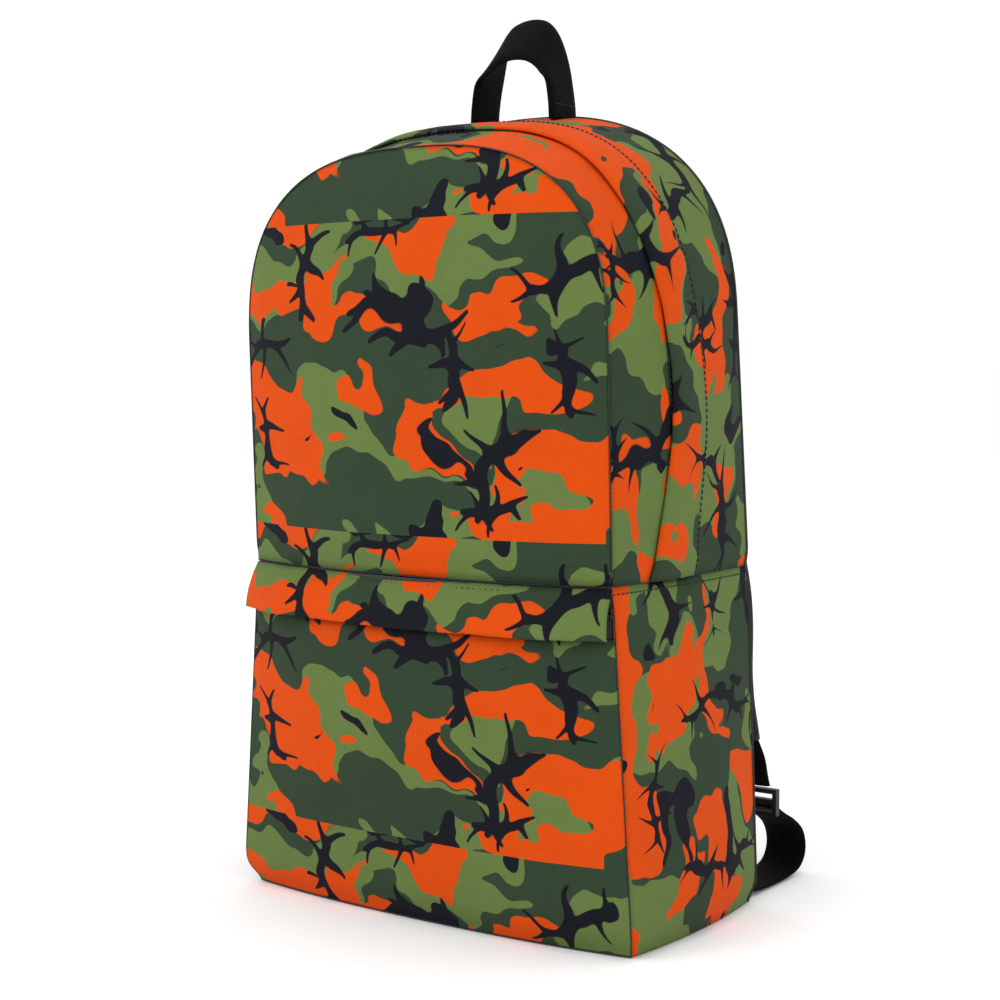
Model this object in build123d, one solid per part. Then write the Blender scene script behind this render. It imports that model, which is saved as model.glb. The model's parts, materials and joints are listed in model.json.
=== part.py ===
"""Hunting daypack, standing on its base and stuffed: millimetres, +Z up, front towards -Y.

The origin is the centre of the base on the floor. The lower half is a tapering box of flat panels, and the
upper half is an arch: a front outline and a taller back outline joined by a gusset, which the main zipper
splits lengthwise. `t` runs round the gusset from the front seam (0) to the back seam (1).
"""

import os
from math import asin, atan, cos, degrees, sin

from build123d import *

os.makedirs("parts", exist_ok=True)

# ---- driving dimensions -------------------------------------------------------------------------
BASE_HALF = 128.5  # half the width of the base
FRONT_HALF, BACK_HALF = 116.0, 121.0  # half widths at and above the middle seam
FRONT_Y, BACK_Y = -64.0, 64.0  # front and back seams at the base and the middle seam
FRONT_TOP_Y, BACK_TOP_Y = -73.0, 37.0  # the same seams at the top of the arch
MID_Z = 185.0  # middle seam all round, where lower and upper halves are sewn together
FRONT_TOP_Z, BACK_TOP_Z = 403.0, 428.0  # tops of the two arches
FRONT_SPRING_Z, BACK_SPRING_Z = 301.0, 321.0  # where the arches leave the straight sides
FRONT_CORNER, BACK_CORNER = 0.724, 0.672  # how square the corners of each arch are (0.552 is a circle)

CLOTH = 1.6  # shell fabric with its seam allowance
LINING = 0.9
GAP = 0.3  # clearance between pieces that lie against each other
SEAM = 2.0  # half the depth of the middle seam, left open between the halves

CHAIN_T = 0.455  # where the main zipper runs in the gusset
FLAP_FREE = (0.30, 0.40)  # the storm flap's free edge, at the middle seam and at the top
FLAP_SEWN = 0.585  # the storm flap's stitched edge
CHAIN_HALF_GAP = 0.7  # half the space between two half chains
CHAIN_WIDE, CHAIN_THICK = 2.0, 1.8
BRIDGE = 2.2  # height of the bridge on a slider that its pull hangs from

POCKET_TOP_Z = 158.0  # top edge of the pocket panel
POCKET_ZIP_Z = 172.0
FRONT_BULGE, BASE_BULGE = 22.0, 10.0  # how far the pocket panel crowns at its top and at the base
ZIP_BULGE = 20.0

BACK_ZIP_Z, BACK_ZIP_HALF = 122.0, 72.0
STRAP_WEB, WEB_THICK = 26.0, 1.5
HANDLE_Y, HANDLE_WIDE = 26.5, 25.0
HANDLE_HINGE_Z, HANDLE_TOP_Z = 434.0, 480.0

# ---- lengths that follow ------------------------------------------------------------------------
DEPTH = BACK_Y - FRONT_Y
BACK_LEAN = (BACK_Y - BACK_TOP_Y) / (BACK_TOP_Z - MID_Z)
BELT_R = (FRONT_HALF**2 + ZIP_BULGE**2) / (2 * ZIP_BULGE)  # radius of the pocket zipper seen from above
BELT_Y = FRONT_Y - ZIP_BULGE + BELT_R  # centre of that arc
BELT_TURN = degrees(asin(FRONT_HALF / BELT_R))


def write(name, shape):
    export_step(shape, f"parts/{name}.step")


def polygon(points):
    return make_face(Polyline(*points, close=True))


def box(low, high):
    size = [b - a for a, b in zip(low, high)]
    centre = [(a + b) / 2 for a, b in zip(low, high)]
    return Pos(*centre) * Box(*size)


def mirrored(shape):
    return mirror(shape, about=Plane.YZ)


# ---- the arched upper half ----------------------------------------------------------------------
def gusset_line(t_mid, t_top):
    """y at the middle seam, y and z at the top, half width and springing height of one line."""
    return (
        FRONT_Y + DEPTH * t_mid,
        FRONT_TOP_Y + (BACK_TOP_Y - FRONT_TOP_Y) * t_top,
        FRONT_TOP_Z + (BACK_TOP_Z - FRONT_TOP_Z) * t_top,
        FRONT_HALF + (BACK_HALF - FRONT_HALF) * t_mid,
        FRONT_SPRING_Z + (BACK_SPRING_Z - FRONT_SPRING_Z) * t_top,
        FRONT_CORNER + (BACK_CORNER - FRONT_CORNER) * t_top,
    )


def arch_face(t, inset=0.0, forward=0.0, foot=MID_Z + SEAM):
    """The closed arch at t, in its own leaning plane, pulled in by inset and moved forward."""
    t_mid, t_top = t if isinstance(t, tuple) else (t, t)
    y_mid, y_top, top, half, spring, corner = gusset_line(t_mid, t_top)
    slope = (y_top - y_mid) / (top - MID_Z)

    def at(x, z):
        return (x, y_mid + slope * (z - MID_Z) - forward, z)

    half, crown = half - inset, top - inset
    shoulder = spring + corner * (crown - spring)
    right = Bezier(at(half, spring), at(half, shoulder), at(corner * half, crown), at(0, crown))
    left = Bezier(at(0, crown), at(-corner * half, crown), at(-half, shoulder), at(-half, spring))
    edges = [
        Line(at(half, foot), at(half, spring)),
        right,
        left,
        Line(at(-half, spring), at(-half, foot)),
        Line(at(-half, foot), at(half, foot)),
    ]
    return make_face(edges)


def stretch(t0, t1, share):
    """Both ends of a t interval moved outwards by a share of its length."""
    low = t0 if isinstance(t0, tuple) else (t0, t0)
    high = t1 if isinstance(t1, tuple) else (t1, t1)
    before = tuple(a - share * (b - a) for a, b in zip(low, high))
    after = tuple(b + share * (b - a) for a, b in zip(low, high))
    return before, after


def arch_strip(t0, t1, thick=CLOTH, inset0=0.0, inset1=0.0):
    """A band of the gusset between t0 and t1, its outside pulled in by inset0 and inset1."""
    share = 0.1
    outer = loft([arch_face(t0, inset0), arch_face(t1, inset1)], ruled=True)
    before, after = stretch(t0, t1, share)
    slope = share * (inset1 - inset0)
    foot = MID_Z - 10
    hollow = loft(
        [arch_face(before, inset0 - slope + thick, foot=foot), arch_face(after, inset1 + slope + thick, foot=foot)],
        ruled=True,
    )
    return outer - hollow


def t_length(millimetres):
    return millimetres / DEPTH


def upper_half():
    crown, edge = 13.0, 28.0
    skin = loft([arch_face(0, 0), arch_face(0, edge, crown)], ruled=True)
    inside = loft(
        [arch_face(0, -1.4 + CLOTH, -1.4, foot=MID_Z - 10), arch_face(0, edge, crown - CLOTH, foot=MID_Z - 10)],
        ruled=True,
    )
    write("lid_front_panel", skin - inside)
    write("lid_gusset", arch_strip(0.004, 0.36))
    write("lid_lining", loft([arch_face(0, 3, -1), arch_face(0, 3, -2)], ruled=True))
    write("lid_gusset_lining", arch_strip(0.07, 0.335, LINING, 2.2, 2.2))
    write("lid_seam_binding", arch_strip(0.025, 0.055, 2.4, 2.0, 2.0))

    gap, wide = t_length(CHAIN_HALF_GAP), t_length(CHAIN_WIDE)
    chain_front = (CHAIN_T - gap - wide, CHAIN_T - gap)
    chain_rear = (CHAIN_T + gap, CHAIN_T + gap + wide)
    write("zip_chain_front", arch_strip(*chain_front, CHAIN_THICK, 1.4, 1.4))
    write("zip_chain_rear", arch_strip(*chain_rear, CHAIN_THICK, 1.4, 1.4))
    write("zip_tape_front", arch_strip(0.345, chain_front[0] - 0.001, 0.8, 1.9, 1.9))
    write("zip_tape_rear", arch_strip(chain_rear[1] + 0.001, 0.62, 0.8, 1.9, 1.9))
    write("storm_flap", arch_strip(FLAP_FREE, (FLAP_SEWN, FLAP_SEWN), 1.4, -8.0, -2.2))
    write("rear_gusset", arch_strip(0.56, 0.983))
    write("rear_gusset_lining", arch_strip(0.63, 0.84, LINING, 2.2, 2.2))
    write("back_seam_binding", arch_strip(0.895, 0.925, 2.4, 2.0, 2.0))


# ---- the lower half -----------------------------------------------------------------------------
def arc_band(z, half, y_end, sagitta, thick):
    """A strip of fabric seen from above, crowned towards the front."""
    outer = ThreePointArc((-half, y_end, z), (0, y_end - sagitta, z), (half, y_end, z))
    inner = ThreePointArc((-half, y_end + thick, z), (0, y_end + thick - sagitta, z), (half, y_end + thick, z))
    sides = [Line(outer @ 0, inner @ 0), Line(outer @ 1, inner @ 1)]
    return make_face([outer, inner, *sides])


def half_width(z, at_front):
    """Half width of the lower half at height z."""
    top = FRONT_HALF if at_front else BACK_HALF
    return BASE_HALF + (top - BASE_HALF) * z / MID_Z


def side_ring(z, inset, thick, y0, y1):
    front, back = half_width(z, True) - inset, half_width(z, False) - inset
    return polygon([(front, y0, z), (back, y1, z), (back - thick, y1, z), (front - thick, y0, z)])


def lower_half():
    low, high = 2.2, MID_Z - SEAM + 0.4
    side = loft([side_ring(low, 0, CLOTH, -61.9, 61.8), side_ring(high, 0, CLOTH, -61.9, 61.8)], ruled=True)
    write("side_panel_right", side)
    write("side_panel_left", mirrored(side))

    outline = [
        Line((-BASE_HALF, BACK_Y, 0), (BASE_HALF, BACK_Y, 0)),
        Line((BASE_HALF, BACK_Y, 0), (BASE_HALF, FRONT_Y, 0)),
        ThreePointArc((BASE_HALF, FRONT_Y, 0), (0, FRONT_Y - BASE_BULGE, 0), (-BASE_HALF, FRONT_Y, 0)),
        Line((-BASE_HALF, FRONT_Y, 0), (-BASE_HALF, BACK_Y, 0)),
    ]
    write("bottom_panel", extrude(make_face(outline), 1.8, dir=(0, 0, 1)))

    panel = [
        arc_band(low, BASE_HALF, FRONT_Y, BASE_BULGE, CLOTH),
        arc_band(POCKET_TOP_Z, half_width(POCKET_TOP_Z, True), FRONT_Y, FRONT_BULGE, CLOTH),
    ]
    write("pocket_panel", loft(panel, ruled=True))
    wall = [arc_band(low, BASE_HALF - 2.4, -61, 3, CLOTH), arc_band(high, FRONT_HALF - 2.4, -61, 6, CLOTH)]
    write("pocket_back_wall", loft(wall, ruled=True))

    def lining_plan(z, inset):
        front, back = half_width(z, True) - inset, half_width(z, False) - inset
        y1 = 45.6 if inset < 3 else 60.0
        return polygon([(-front, -61.5 + inset, z), (front, -61.5 + inset, z), (back, y1, z), (-back, y1, z)])

    outer = loft([lining_plan(2.2, 2.6), lining_plan(high, 2.6)], ruled=True)
    inner = loft([lining_plan(3.2, 2.6 + LINING), lining_plan(high + 2, 2.6 + LINING)], ruled=True)
    write("lower_lining", outer - inner)


# ---- the padded back ----------------------------------------------------------------------------
def back_layer(y_out, y_in, inset, low=2.2, high=BACK_TOP_Z + 10):
    """A layer of the back: upright below the middle seam, leaning forward above it."""
    foot, head = low, high
    drop_foot, drop_head = max(foot - MID_Z, 0) * BACK_LEAN, (head - MID_Z) * BACK_LEAN
    profile = [(0, y_out - drop_foot, foot)]
    if foot < MID_Z:
        profile.append((0, y_out, MID_Z))
    profile += [(0, y_out - drop_head, head), (0, y_in - drop_head, head)]
    if foot < MID_Z:
        profile.append((0, y_in, MID_Z))
    profile.append((0, y_in - drop_foot, foot))
    slab = extrude(polygon(profile), 140, dir=(1, 0, 0), both=True)

    half, crown, spring = BACK_HALF - inset, BACK_TOP_Z - inset, BACK_SPRING_Z
    base, shoulder = BASE_HALF - inset, spring + BACK_CORNER * (crown - spring)
    edges = [
        Line((base, 0, 0), (half, 0, MID_Z)),
        Line((half, 0, MID_Z), (half, 0, spring)),
        Bezier((half, 0, spring), (half, 0, shoulder), (BACK_CORNER * half, 0, crown), (0, 0, crown)),
        Bezier((0, 0, crown), (-BACK_CORNER * half, 0, crown), (-half, 0, shoulder), (-half, 0, spring)),
        Line((-half, 0, spring), (-half, 0, MID_Z)),
        Line((-half, 0, MID_Z), (-base, 0, 0)),
        Line((-base, 0, 0), (base, 0, 0)),
    ]
    return slab & extrude(make_face(edges), 100, dir=(0, 1, 0), both=True)


def back():
    slot = box((-BACK_ZIP_HALF - 2, 30, BACK_ZIP_Z - 6), (BACK_ZIP_HALF + 2, 80, BACK_ZIP_Z + 6))
    write("back_mesh", back_layer(BACK_Y, BACK_Y - 1.6, 0) - slot)
    write("back_foam", back_layer(BACK_Y - 1.9, BACK_Y - 7.8, 4.6) - slot)
    write("back_lining", back_layer(47.0, 46.0, 6.2))
    write("laptop_sleeve", back_layer(27.0, 22.0, 6.5, 8, 275))
    write("sleeve_binding", back_layer(28.0, 21.0, 6.5, 275.3, 283))

    pouch_out = box((-90, 47.6, 45), (90, 55.8, 150))
    pouch_in = box((-89, 48.6, 46), (89, 54.8, 149))
    write("back_pocket_bag", pouch_out - pouch_in - slot)
    tapes, chains = [], []
    for side in (-1, 1):
        inner = BACK_ZIP_Z + side * 0.6
        outer = inner + side * CHAIN_WIDE
        chains.append(strip_box(61.6, 63.4, inner, outer))
        tapes.append(strip_box(62.2, 62.9, outer + side * 0.1, BACK_ZIP_Z + side * 5.8))
    write("back_zip_tapes", Compound(children=tapes))
    write("back_zip_chain", Compound(children=chains))


def strip_box(y0, y1, z0, z1):
    low, high = min(z0, z1), max(z0, z1)
    return box((-BACK_ZIP_HALF, y0, low), (BACK_ZIP_HALF, y1, high))


# ---- sliders and pulls --------------------------------------------------------------------------
def slider(gap, plate=1.4, length=12.0, wide=9.0):
    """A zipper slider on a chain along local Z: x is outwards, y across the chain."""
    outer = box((gap, -wide / 2, -length / 2), (gap + plate, wide / 2, length / 2))
    inner = box((-gap - plate, -wide / 2, -length / 2), (-gap, wide / 2, length / 2))
    post = box((-gap, -0.3, -length / 3), (gap, 0.3, length / 3))
    bridge = box((gap + plate, -1.0, -1.0), (gap + plate + BRIDGE, 1.0, 1.0))
    return outer + inner + post + bridge


def pull(gap, plate=1.4, length=17.0, wide=6.0):
    """The tab that hangs below the bridge, with an arm on each side of it."""
    pivot = gap + plate + BRIDGE / 2
    tab = box((pivot - 0.6, -wide / 2, -length), (pivot + 0.6, wide / 2, -1.8))
    for side in (-1, 1):
        y0, y1 = sorted((side * 1.3, side * 2.3))
        tab = tab + box((pivot - 0.6, y0, -1.8), (pivot + 0.6, y1, 0.6))
    return tab


def main_sliders():
    """Both sliders meet, closed, on the straight left side, under the storm flap."""
    y_mid, y_top, top, half, _, _ = gusset_line(CHAIN_T, CHAIN_T)
    slope = (y_top - y_mid) / (top - MID_Z)
    inset = 1.4 + CHAIN_THICK / 2
    for name, z in (("upper", 262.0), ("lower", 246.5)):
        place = (
            Pos(-(half - inset), y_mid + slope * (z - MID_Z), z)
            * Rot(X=-degrees(atan(slope)))
            * Rot(Z=180)
        )
        write(f"main_slider_{name}", place * slider(CHAIN_THICK / 2 + GAP))
        write(f"main_pull_{name}", place * pull(CHAIN_THICK / 2 + GAP, length=11.0))


def belt(profile):
    """A band round the pocket zipper's arc: profile is in radius and height."""
    face = polygon([(0, BELT_Y - r, z) for r, z in profile])
    axis = Axis((0, BELT_Y, 0), (0, 0, 1))
    return revolve(face.rotate(axis, -BELT_TURN), axis, 2 * BELT_TURN)


def ring(r_low, r_high, z_low, z_high):
    return belt([(r_low, z_low), (r_high, z_low), (r_high, z_high), (r_low, z_high)])


def pocket_zip():
    middle, half_thick = BELT_R, CHAIN_THICK / 2
    chains, tapes = [], []
    for side, end in ((-1, POCKET_TOP_Z + 0.6), (1, MID_Z - 1.6)):
        inner = POCKET_ZIP_Z + side * 0.6
        outer = inner + side * CHAIN_WIDE
        low, high = sorted((inner, outer))
        chains.append(ring(middle - half_thick, middle + half_thick, low, high))
        low, high = sorted((outer + side * 0.1, end))
        tapes.append(ring(middle - 0.4, middle + 0.4, low, high))
    write("pocket_zip_chain_lower", chains[0])
    write("pocket_zip_chain_upper", chains[1])
    write("pocket_zip_tape_lower", tapes[0])
    write("pocket_zip_tape_upper", tapes[1])

    hood = [(1.2, 183.6), (2.8, 183.6), (10.0, 173.0), (10.0, 160.0), (8.6, 160.0), (8.6, 172.4)]
    write("pocket_flap", belt([(BELT_R + r, z) for r, z in hood]))

    axis = Axis((0, BELT_Y, 0), (0, 0, 1))
    place = Pos(0, BELT_Y - BELT_R, POCKET_ZIP_Z) * Rot(Z=-90) * Rot(X=90)
    write("pocket_slider", (place * slider(half_thick + GAP)).rotate(axis, -16))
    hang = Pos(0, BELT_Y - BELT_R, POCKET_ZIP_Z) * Rot(Z=-90)
    write("pocket_pull", (hang * pull(half_thick + GAP, length=11.0)).rotate(axis, -16))


def back_slider():
    place = Pos(-62, 62.5, BACK_ZIP_Z) * Rot(Z=90) * Rot(X=90)
    write("back_slider", place * slider(2.0))
    write("back_pull", Pos(-62, 62.5, BACK_ZIP_Z) * Rot(Z=90) * pull(2.0))


# ---- straps and handle --------------------------------------------------------------------------
def back_y(z):
    return BACK_Y - max(z - MID_Z, 0) * BACK_LEAN


def flat_section(z, centre, wide, y_in, thick):
    left, right = centre - wide / 2, centre + wide / 2
    return polygon([(left, y_in, z), (right, y_in, z), (right, y_in + thick, z), (left, y_in + thick, z)])


def slab_through(sections):
    pieces = [loft([flat_section(*a), flat_section(*b)], ruled=True) for a, b in zip(sections, sections[1:])]
    whole = pieces[0]
    for piece in pieces[1:]:
        whole = whole + piece
    return whole


def ribbon(points, thick, x0, x1):
    """A flat strap along points in a plane of constant x, as one closed outline."""
    left, right = [], []
    for i, (y, z) in enumerate(points):
        before, after = points[max(i - 1, 0)], points[min(i + 1, len(points) - 1)]
        dy, dz = after[0] - before[0], after[1] - before[1]
        length = (dy * dy + dz * dz) ** 0.5
        ny, nz = -dz / length * thick / 2, dy / length * thick / 2
        left.append((x0, y + ny, z + nz))
        right.append((x0, y - ny, z - nz))
    return extrude(polygon(left + right[::-1]), x1 - x0, dir=(1, 0, 0))


def shoulder_straps():
    # height, centre, width, clearance off the back, thickness: wide and padded, tapering to the webbing
    shape = [
        (398, 40, 60, 2.6, 5.0),
        (372, 41, 66, 3.0, 12.0),
        (300, 50, 66, 9.0, 13.0),
        (230, 68, 64, 12.0, 13.0),
        (170, 87, 56, 8.0, 11.0),
        (120, 101, 40, 1.8, 7.0),
        (88, 107, 28, 11.5, 4.5),
    ]
    pad = [(z, c, w, back_y(z) + off, th) for z, c, w, off, th in shape]
    strap = slab_through(pad)
    web = [(z, c, STRAP_WEB, y + th + GAP, WEB_THICK) for z, c, w, y, th in pad[3:]]
    web.append((57.0, 108, STRAP_WEB, 94.0, WEB_THICK))
    webbing = slab_through(web)
    x0, x1 = 108 - STRAP_WEB / 2, 108 + STRAP_WEB / 2
    route = [
        (67.4, 5.0), (90, 1.6), (116, 1.3), (130, 3.2), (137.5, 9.0), (139.0, 17.0),
        (134.0, 26.0), (124.0, 33.5), (112.0, 39.5), (102.6, 45.2),
    ]
    adjuster = ribbon(route, WEB_THICK, x0, x1)
    frame = box((x0 - 1.5, 97.6, 41), (x1 + 1.5, 101.6, 56))
    for z0, z1 in ((43.2, 47.0), (50.2, 53.4)):
        frame = frame - box((x0 + 1, 90, z0), (x1 - 1, 110, z1))
    tab = extrude(polygon([(92, 64.4, 2.4), (124, 64.4, 2.4), (124, 64.4, 30)]), 2.0, dir=(0, 1, 0))
    pieces = {
        "shoulder_pad": strap,
        "strap_webbing": webbing,
        "ladder_lock": frame,
        "adjuster_webbing": adjuster,
        "anchor_tab": tab,
    }
    for name, piece in pieces.items():
        write(f"{name}_right", piece)
        write(f"{name}_left", mirrored(piece))
    yoke = back_layer(BACK_Y + 1.9, BACK_Y + 0.3, 0) & box((-76, 0, 380), (76, 100, 414))
    write("strap_yoke", yoke)


def grab_handle():
    """A loop of webbing over the top seam; its legs narrow to the line that it folds about."""
    rise = [(30, 420), (27.5, 441), (22, 458), (14, 474), (0, HANDLE_TOP_Z)]
    outer = rise + [(-x, z) for x, z in rise[-2::-1]]
    inner = [(x * 0.92 - (0 if x == 0 else 0.2 * x / abs(x)), z - 2.2 * (z > 430)) for x, z in outer]
    outline = [(x, 0, z) for x, z in outer] + [(x, 0, z) for x, z in inner[::-1]]
    loop = extrude(polygon(outline), HANDLE_WIDE / 2, dir=(0, 1, 0), both=True)
    wide = HANDLE_WIDE / 2
    foot = HANDLE_HINGE_Z
    legs = [(0, -2, foot), (0, 2, foot), (0, wide, foot + 12), (0, wide, 490), (0, -wide, 490), (0, -wide, foot + 12)]
    swing = extrude(polygon(legs), 40, dir=(1, 0, 0), both=True)
    write("grab_handle", Pos(0, HANDLE_Y, 0) * (loop & swing))
    roof = [(0, -wide, 428.6), (0, wide, 428.6), (0, wide, 429.4), (0, 0, foot - 2.4), (0, -wide, 429.4)]
    feet = extrude(polygon(roof), 40, dir=(1, 0, 0), both=True)
    write("handle_anchors", Pos(0, HANDLE_Y, 0) * (loop & feet))


upper_half()
lower_half()
back()
main_sliders()
pocket_zip()
back_slider()
shoulder_straps()
grab_handle()
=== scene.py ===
"""Hunting daypack: every visible piece of cloth, webbing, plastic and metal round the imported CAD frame.

Lengths are in millimetres until mesh() scales them. The bag's skin is described once, by lid_surface,
gusset_surface, lower_front, side_surface and back_line, and every panel, seam and stitch is read off those.
"""

import json
import math

import bmesh
import bpy
import numpy as np
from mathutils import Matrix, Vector, noise


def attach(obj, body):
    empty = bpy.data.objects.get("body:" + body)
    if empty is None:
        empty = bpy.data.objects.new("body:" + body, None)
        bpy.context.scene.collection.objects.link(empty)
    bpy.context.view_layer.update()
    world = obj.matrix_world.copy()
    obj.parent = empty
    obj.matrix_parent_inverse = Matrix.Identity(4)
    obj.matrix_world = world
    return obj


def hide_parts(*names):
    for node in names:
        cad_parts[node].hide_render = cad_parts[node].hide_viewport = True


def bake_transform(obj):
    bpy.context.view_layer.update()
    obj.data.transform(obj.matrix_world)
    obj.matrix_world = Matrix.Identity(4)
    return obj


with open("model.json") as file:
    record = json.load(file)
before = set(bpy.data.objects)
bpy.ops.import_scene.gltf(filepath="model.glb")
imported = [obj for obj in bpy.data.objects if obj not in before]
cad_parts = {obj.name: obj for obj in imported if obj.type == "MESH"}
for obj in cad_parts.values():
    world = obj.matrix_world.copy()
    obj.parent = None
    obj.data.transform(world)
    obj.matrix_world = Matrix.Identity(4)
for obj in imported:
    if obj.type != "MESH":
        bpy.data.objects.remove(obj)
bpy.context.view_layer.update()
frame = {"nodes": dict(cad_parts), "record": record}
MM = 0.001

# ---- the bag's driving dimensions, as in the CAD part ------------------------------------------------
BASE_HALF, FRONT_HALF, BACK_HALF = 128.5, 116.0, 121.0
FRONT_Y, BACK_Y, FRONT_TOP_Y, BACK_TOP_Y = -64.0, 64.0, -73.0, 37.0
MID_Z, FRONT_TOP_Z, BACK_TOP_Z = 185.0, 403.0, 428.0
FRONT_SPRING_Z, BACK_SPRING_Z = 301.0, 321.0
FRONT_SQUARE, BACK_SQUARE = 2.67, 2.43  # superellipse exponents of the two arches
CHAIN_T = 0.455  # the main zipper's chain, between 0 at the front seam and 1 at the back seam
POCKET_TOP_Z, POCKET_ZIP_Z = 158.0, 172.0
BACK_ZIP_Z, BACK_ZIP_HALF = 122.0, 72.0
BACK_LEAN = (BACK_Y - BACK_TOP_Y) / (BACK_TOP_Z - MID_Z)
BELT_BOW = 20.0  # how far the pocket zipper's middle stands forward of its ends
BELT_R = (FRONT_HALF**2 + BELT_BOW**2) / (2 * BELT_BOW)
BELT_Y = FRONT_Y - BELT_BOW + BELT_R
FACING_FRONT, FACING_BACK = (0.0, -1.0, 0.1), (0.0, 1.0, 0.1)


def mix(a, b, s):
    return a + (b - a) * s


def smooth(low, high, x):
    s = np.clip((x - low) / (high - low), 0, 1)
    return s * s * (3 - 2 * s)


def bell(x, centre, width):
    """1 at the centre, falling to 0 on both sides."""
    return np.exp(-(((x - centre) / width) ** 2))


def at(*coordinates):
    """Points from their coordinates, each a number or an array."""
    return np.stack(np.broadcast_arrays(*coordinates), axis=-1).astype(float)


# ---- materials ---------------------------------------------------------------------------------------
class Nodes:
    """A node tree with short calls for the few node kinds that the cloths use."""

    def __init__(self, name, tree=None):
        if tree is not None:
            self.tree = tree
            return
        self.material = bpy.data.materials.new(name)
        self.material.use_nodes = True
        self.tree = self.material.node_tree
        self.tree.nodes.clear()
        self.shader = self.add("ShaderNodeBsdfPrincipled")
        output = self.add("ShaderNodeOutputMaterial")
        self.link(self.shader.outputs[0], output.inputs[0])

    def add(self, kind, **settings):
        node = self.tree.nodes.new(kind)
        for key, value in settings.items():
            setattr(node, key, value)
        return node

    def link(self, source, target):
        self.tree.links.new(source, target)

    def fill(self, socket, value):
        if isinstance(value, bpy.types.NodeSocket):
            self.link(value, socket)
        else:
            socket.default_value = value

    def math(self, operation, *values, clamp=False):
        node = self.add("ShaderNodeMath", operation=operation, use_clamp=clamp)
        for socket, value in zip(node.inputs, values):
            self.fill(socket, value)
        return node.outputs[0]

    def vector(self, operation, *values):
        node = self.add("ShaderNodeVectorMath", operation=operation)
        for socket, value in zip(node.inputs, values):
            self.fill(socket, value)
        return node.outputs["Value" if operation in ("LENGTH", "DISTANCE", "DOT_PRODUCT") else "Vector"]

    def after(self, place, value):
        """The place unchanged, but read only once value is known, which keeps a long shader small."""
        return self.vector("MULTIPLY_ADD", value, (1e-9, 1e-9, 1e-9), place)

    def noise(self, place, scale, detail=2.0, rough=0.5):
        node = self.add("ShaderNodeTexNoise")
        self.link(place, node.inputs["Vector"])
        node.inputs["Scale"].default_value = scale
        node.inputs["Detail"].default_value = detail
        node.inputs["Roughness"].default_value = rough
        return node

    def cells(self, place, scale, randomness=1.0):
        """The distance to the nearest of a field of scattered points."""
        node = self.add("ShaderNodeTexVoronoi")
        node.inputs["Scale"].default_value = scale
        node.inputs["Randomness"].default_value = randomness
        self.link(place, node.inputs["Vector"])
        return node.outputs["Distance"]

    def wave(self, value, period):
        return self.math("SINE", self.math("MULTIPLY", value, 2 * math.pi / period))

    def print_place(self):
        """The print's UV map, in metres, as a vector and as its two numbers."""
        uv = self.add("ShaderNodeUVMap", uv_map="print").outputs[0]
        split = self.add("ShaderNodeSeparateXYZ")
        self.link(uv, split.inputs[0])
        return uv, split.outputs[0], split.outputs[1]

    def object_place(self):
        return self.add("ShaderNodeTexCoord").outputs["Object"]

    def ramp(self, value, low, high, start=0.0, end=1.0):
        node = self.add("ShaderNodeMapRange")
        self.fill(node.inputs["Value"], value)
        for key, number in (("From Min", low), ("From Max", high), ("To Min", start), ("To Max", end)):
            node.inputs[key].default_value = number
        return node.outputs[0]

    def blend(self, share, first, second):
        node = self.add("ShaderNodeMix", data_type="RGBA")
        self.fill(node.inputs[0], share)
        self.fill(node.inputs[6], first)
        self.fill(node.inputs[7], second)
        return node.outputs[2]

    def bump(self, height, distance, strength=1.0, under=None):
        node = self.add("ShaderNodeBump")
        node.inputs["Strength"].default_value = strength
        node.inputs["Distance"].default_value = distance
        self.link(height, node.inputs["Height"])
        if under is not None:
            self.link(under, node.inputs["Normal"])
        return node.outputs[0]

    def finish(self, colour=None, rough=0.8, normal=None, sheen=0.0, metal=0.0, specular=0.5):
        if colour is not None:
            self.fill(self.shader.inputs["Base Color"], colour)
        self.fill(self.shader.inputs["Roughness"], rough)
        if normal is not None:
            self.link(normal, self.shader.inputs["Normal"])
        self.shader.inputs["Sheen Weight"].default_value = sheen
        self.shader.inputs["Sheen Roughness"].default_value = 0.45
        self.shader.inputs["Metallic"].default_value = metal
        self.shader.inputs["Specular IOR Level"].default_value = specular
        return self.material


def linear(red, green, blue):
    """An sRGB colour of 0 to 255 as the linear colour that a shader takes."""
    values = [c / 255 for c in (red, green, blue)]
    return tuple(c / 12.92 if c <= 0.04045 else ((c + 0.055) / 1.055) ** 2.4 for c in values) + (1.0,)


def lighter(colour, times, plus):
    return tuple(min(1.0, c * times + plus) for c in colour[:3]) + (1.0,)


ORANGE, OLIVE = linear(200, 68, 0), linear(91, 110, 57)
GREEN, NIGHT = linear(43, 59, 41), linear(14, 14, 24)

# The print, in millimetres. On the front it repeats; on the sides the twigs turn back at their field's ends.
REPEAT = 160.0
TWIG_FIELD = (208.0, 156.0)
# Large patches of one repeat: centre across and up, and half sizes.
ORANGE_PATCHES = [(-92, 64, 30, 46), (42, 76, 70, 11), (88, 30, 30, 32), (-62, 150, 62, 19),
                  (66, 8, 46, 15), (60, 120, 26, 9), (-30, 112, 30, 8)]
OLIVE_PATCHES = [(-82, 116, 46, 13), (48, 128, 34, 26), (-46, 56, 32, 20), (18, 22, 34, 20),
                 (-112, 24, 14, 30), (-10, 140, 22, 9)]
# Black twigs: place across and up, turn in degrees, and size.
TWIGS = [(-60, 140, 80, 1.0), (62, 40, 70, 1.15), (8, 108, -12, 1.3), (34, 84, -75, 0.9),
         (-98, 92, 15, 0.9), (92, 130, 200, 1.0), (-12, 152, 5, 0.7), (100, 84, 100, 0.8),
         (-96, 50, 110, 0.75), (60, 14, 10, 0.7)]
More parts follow.
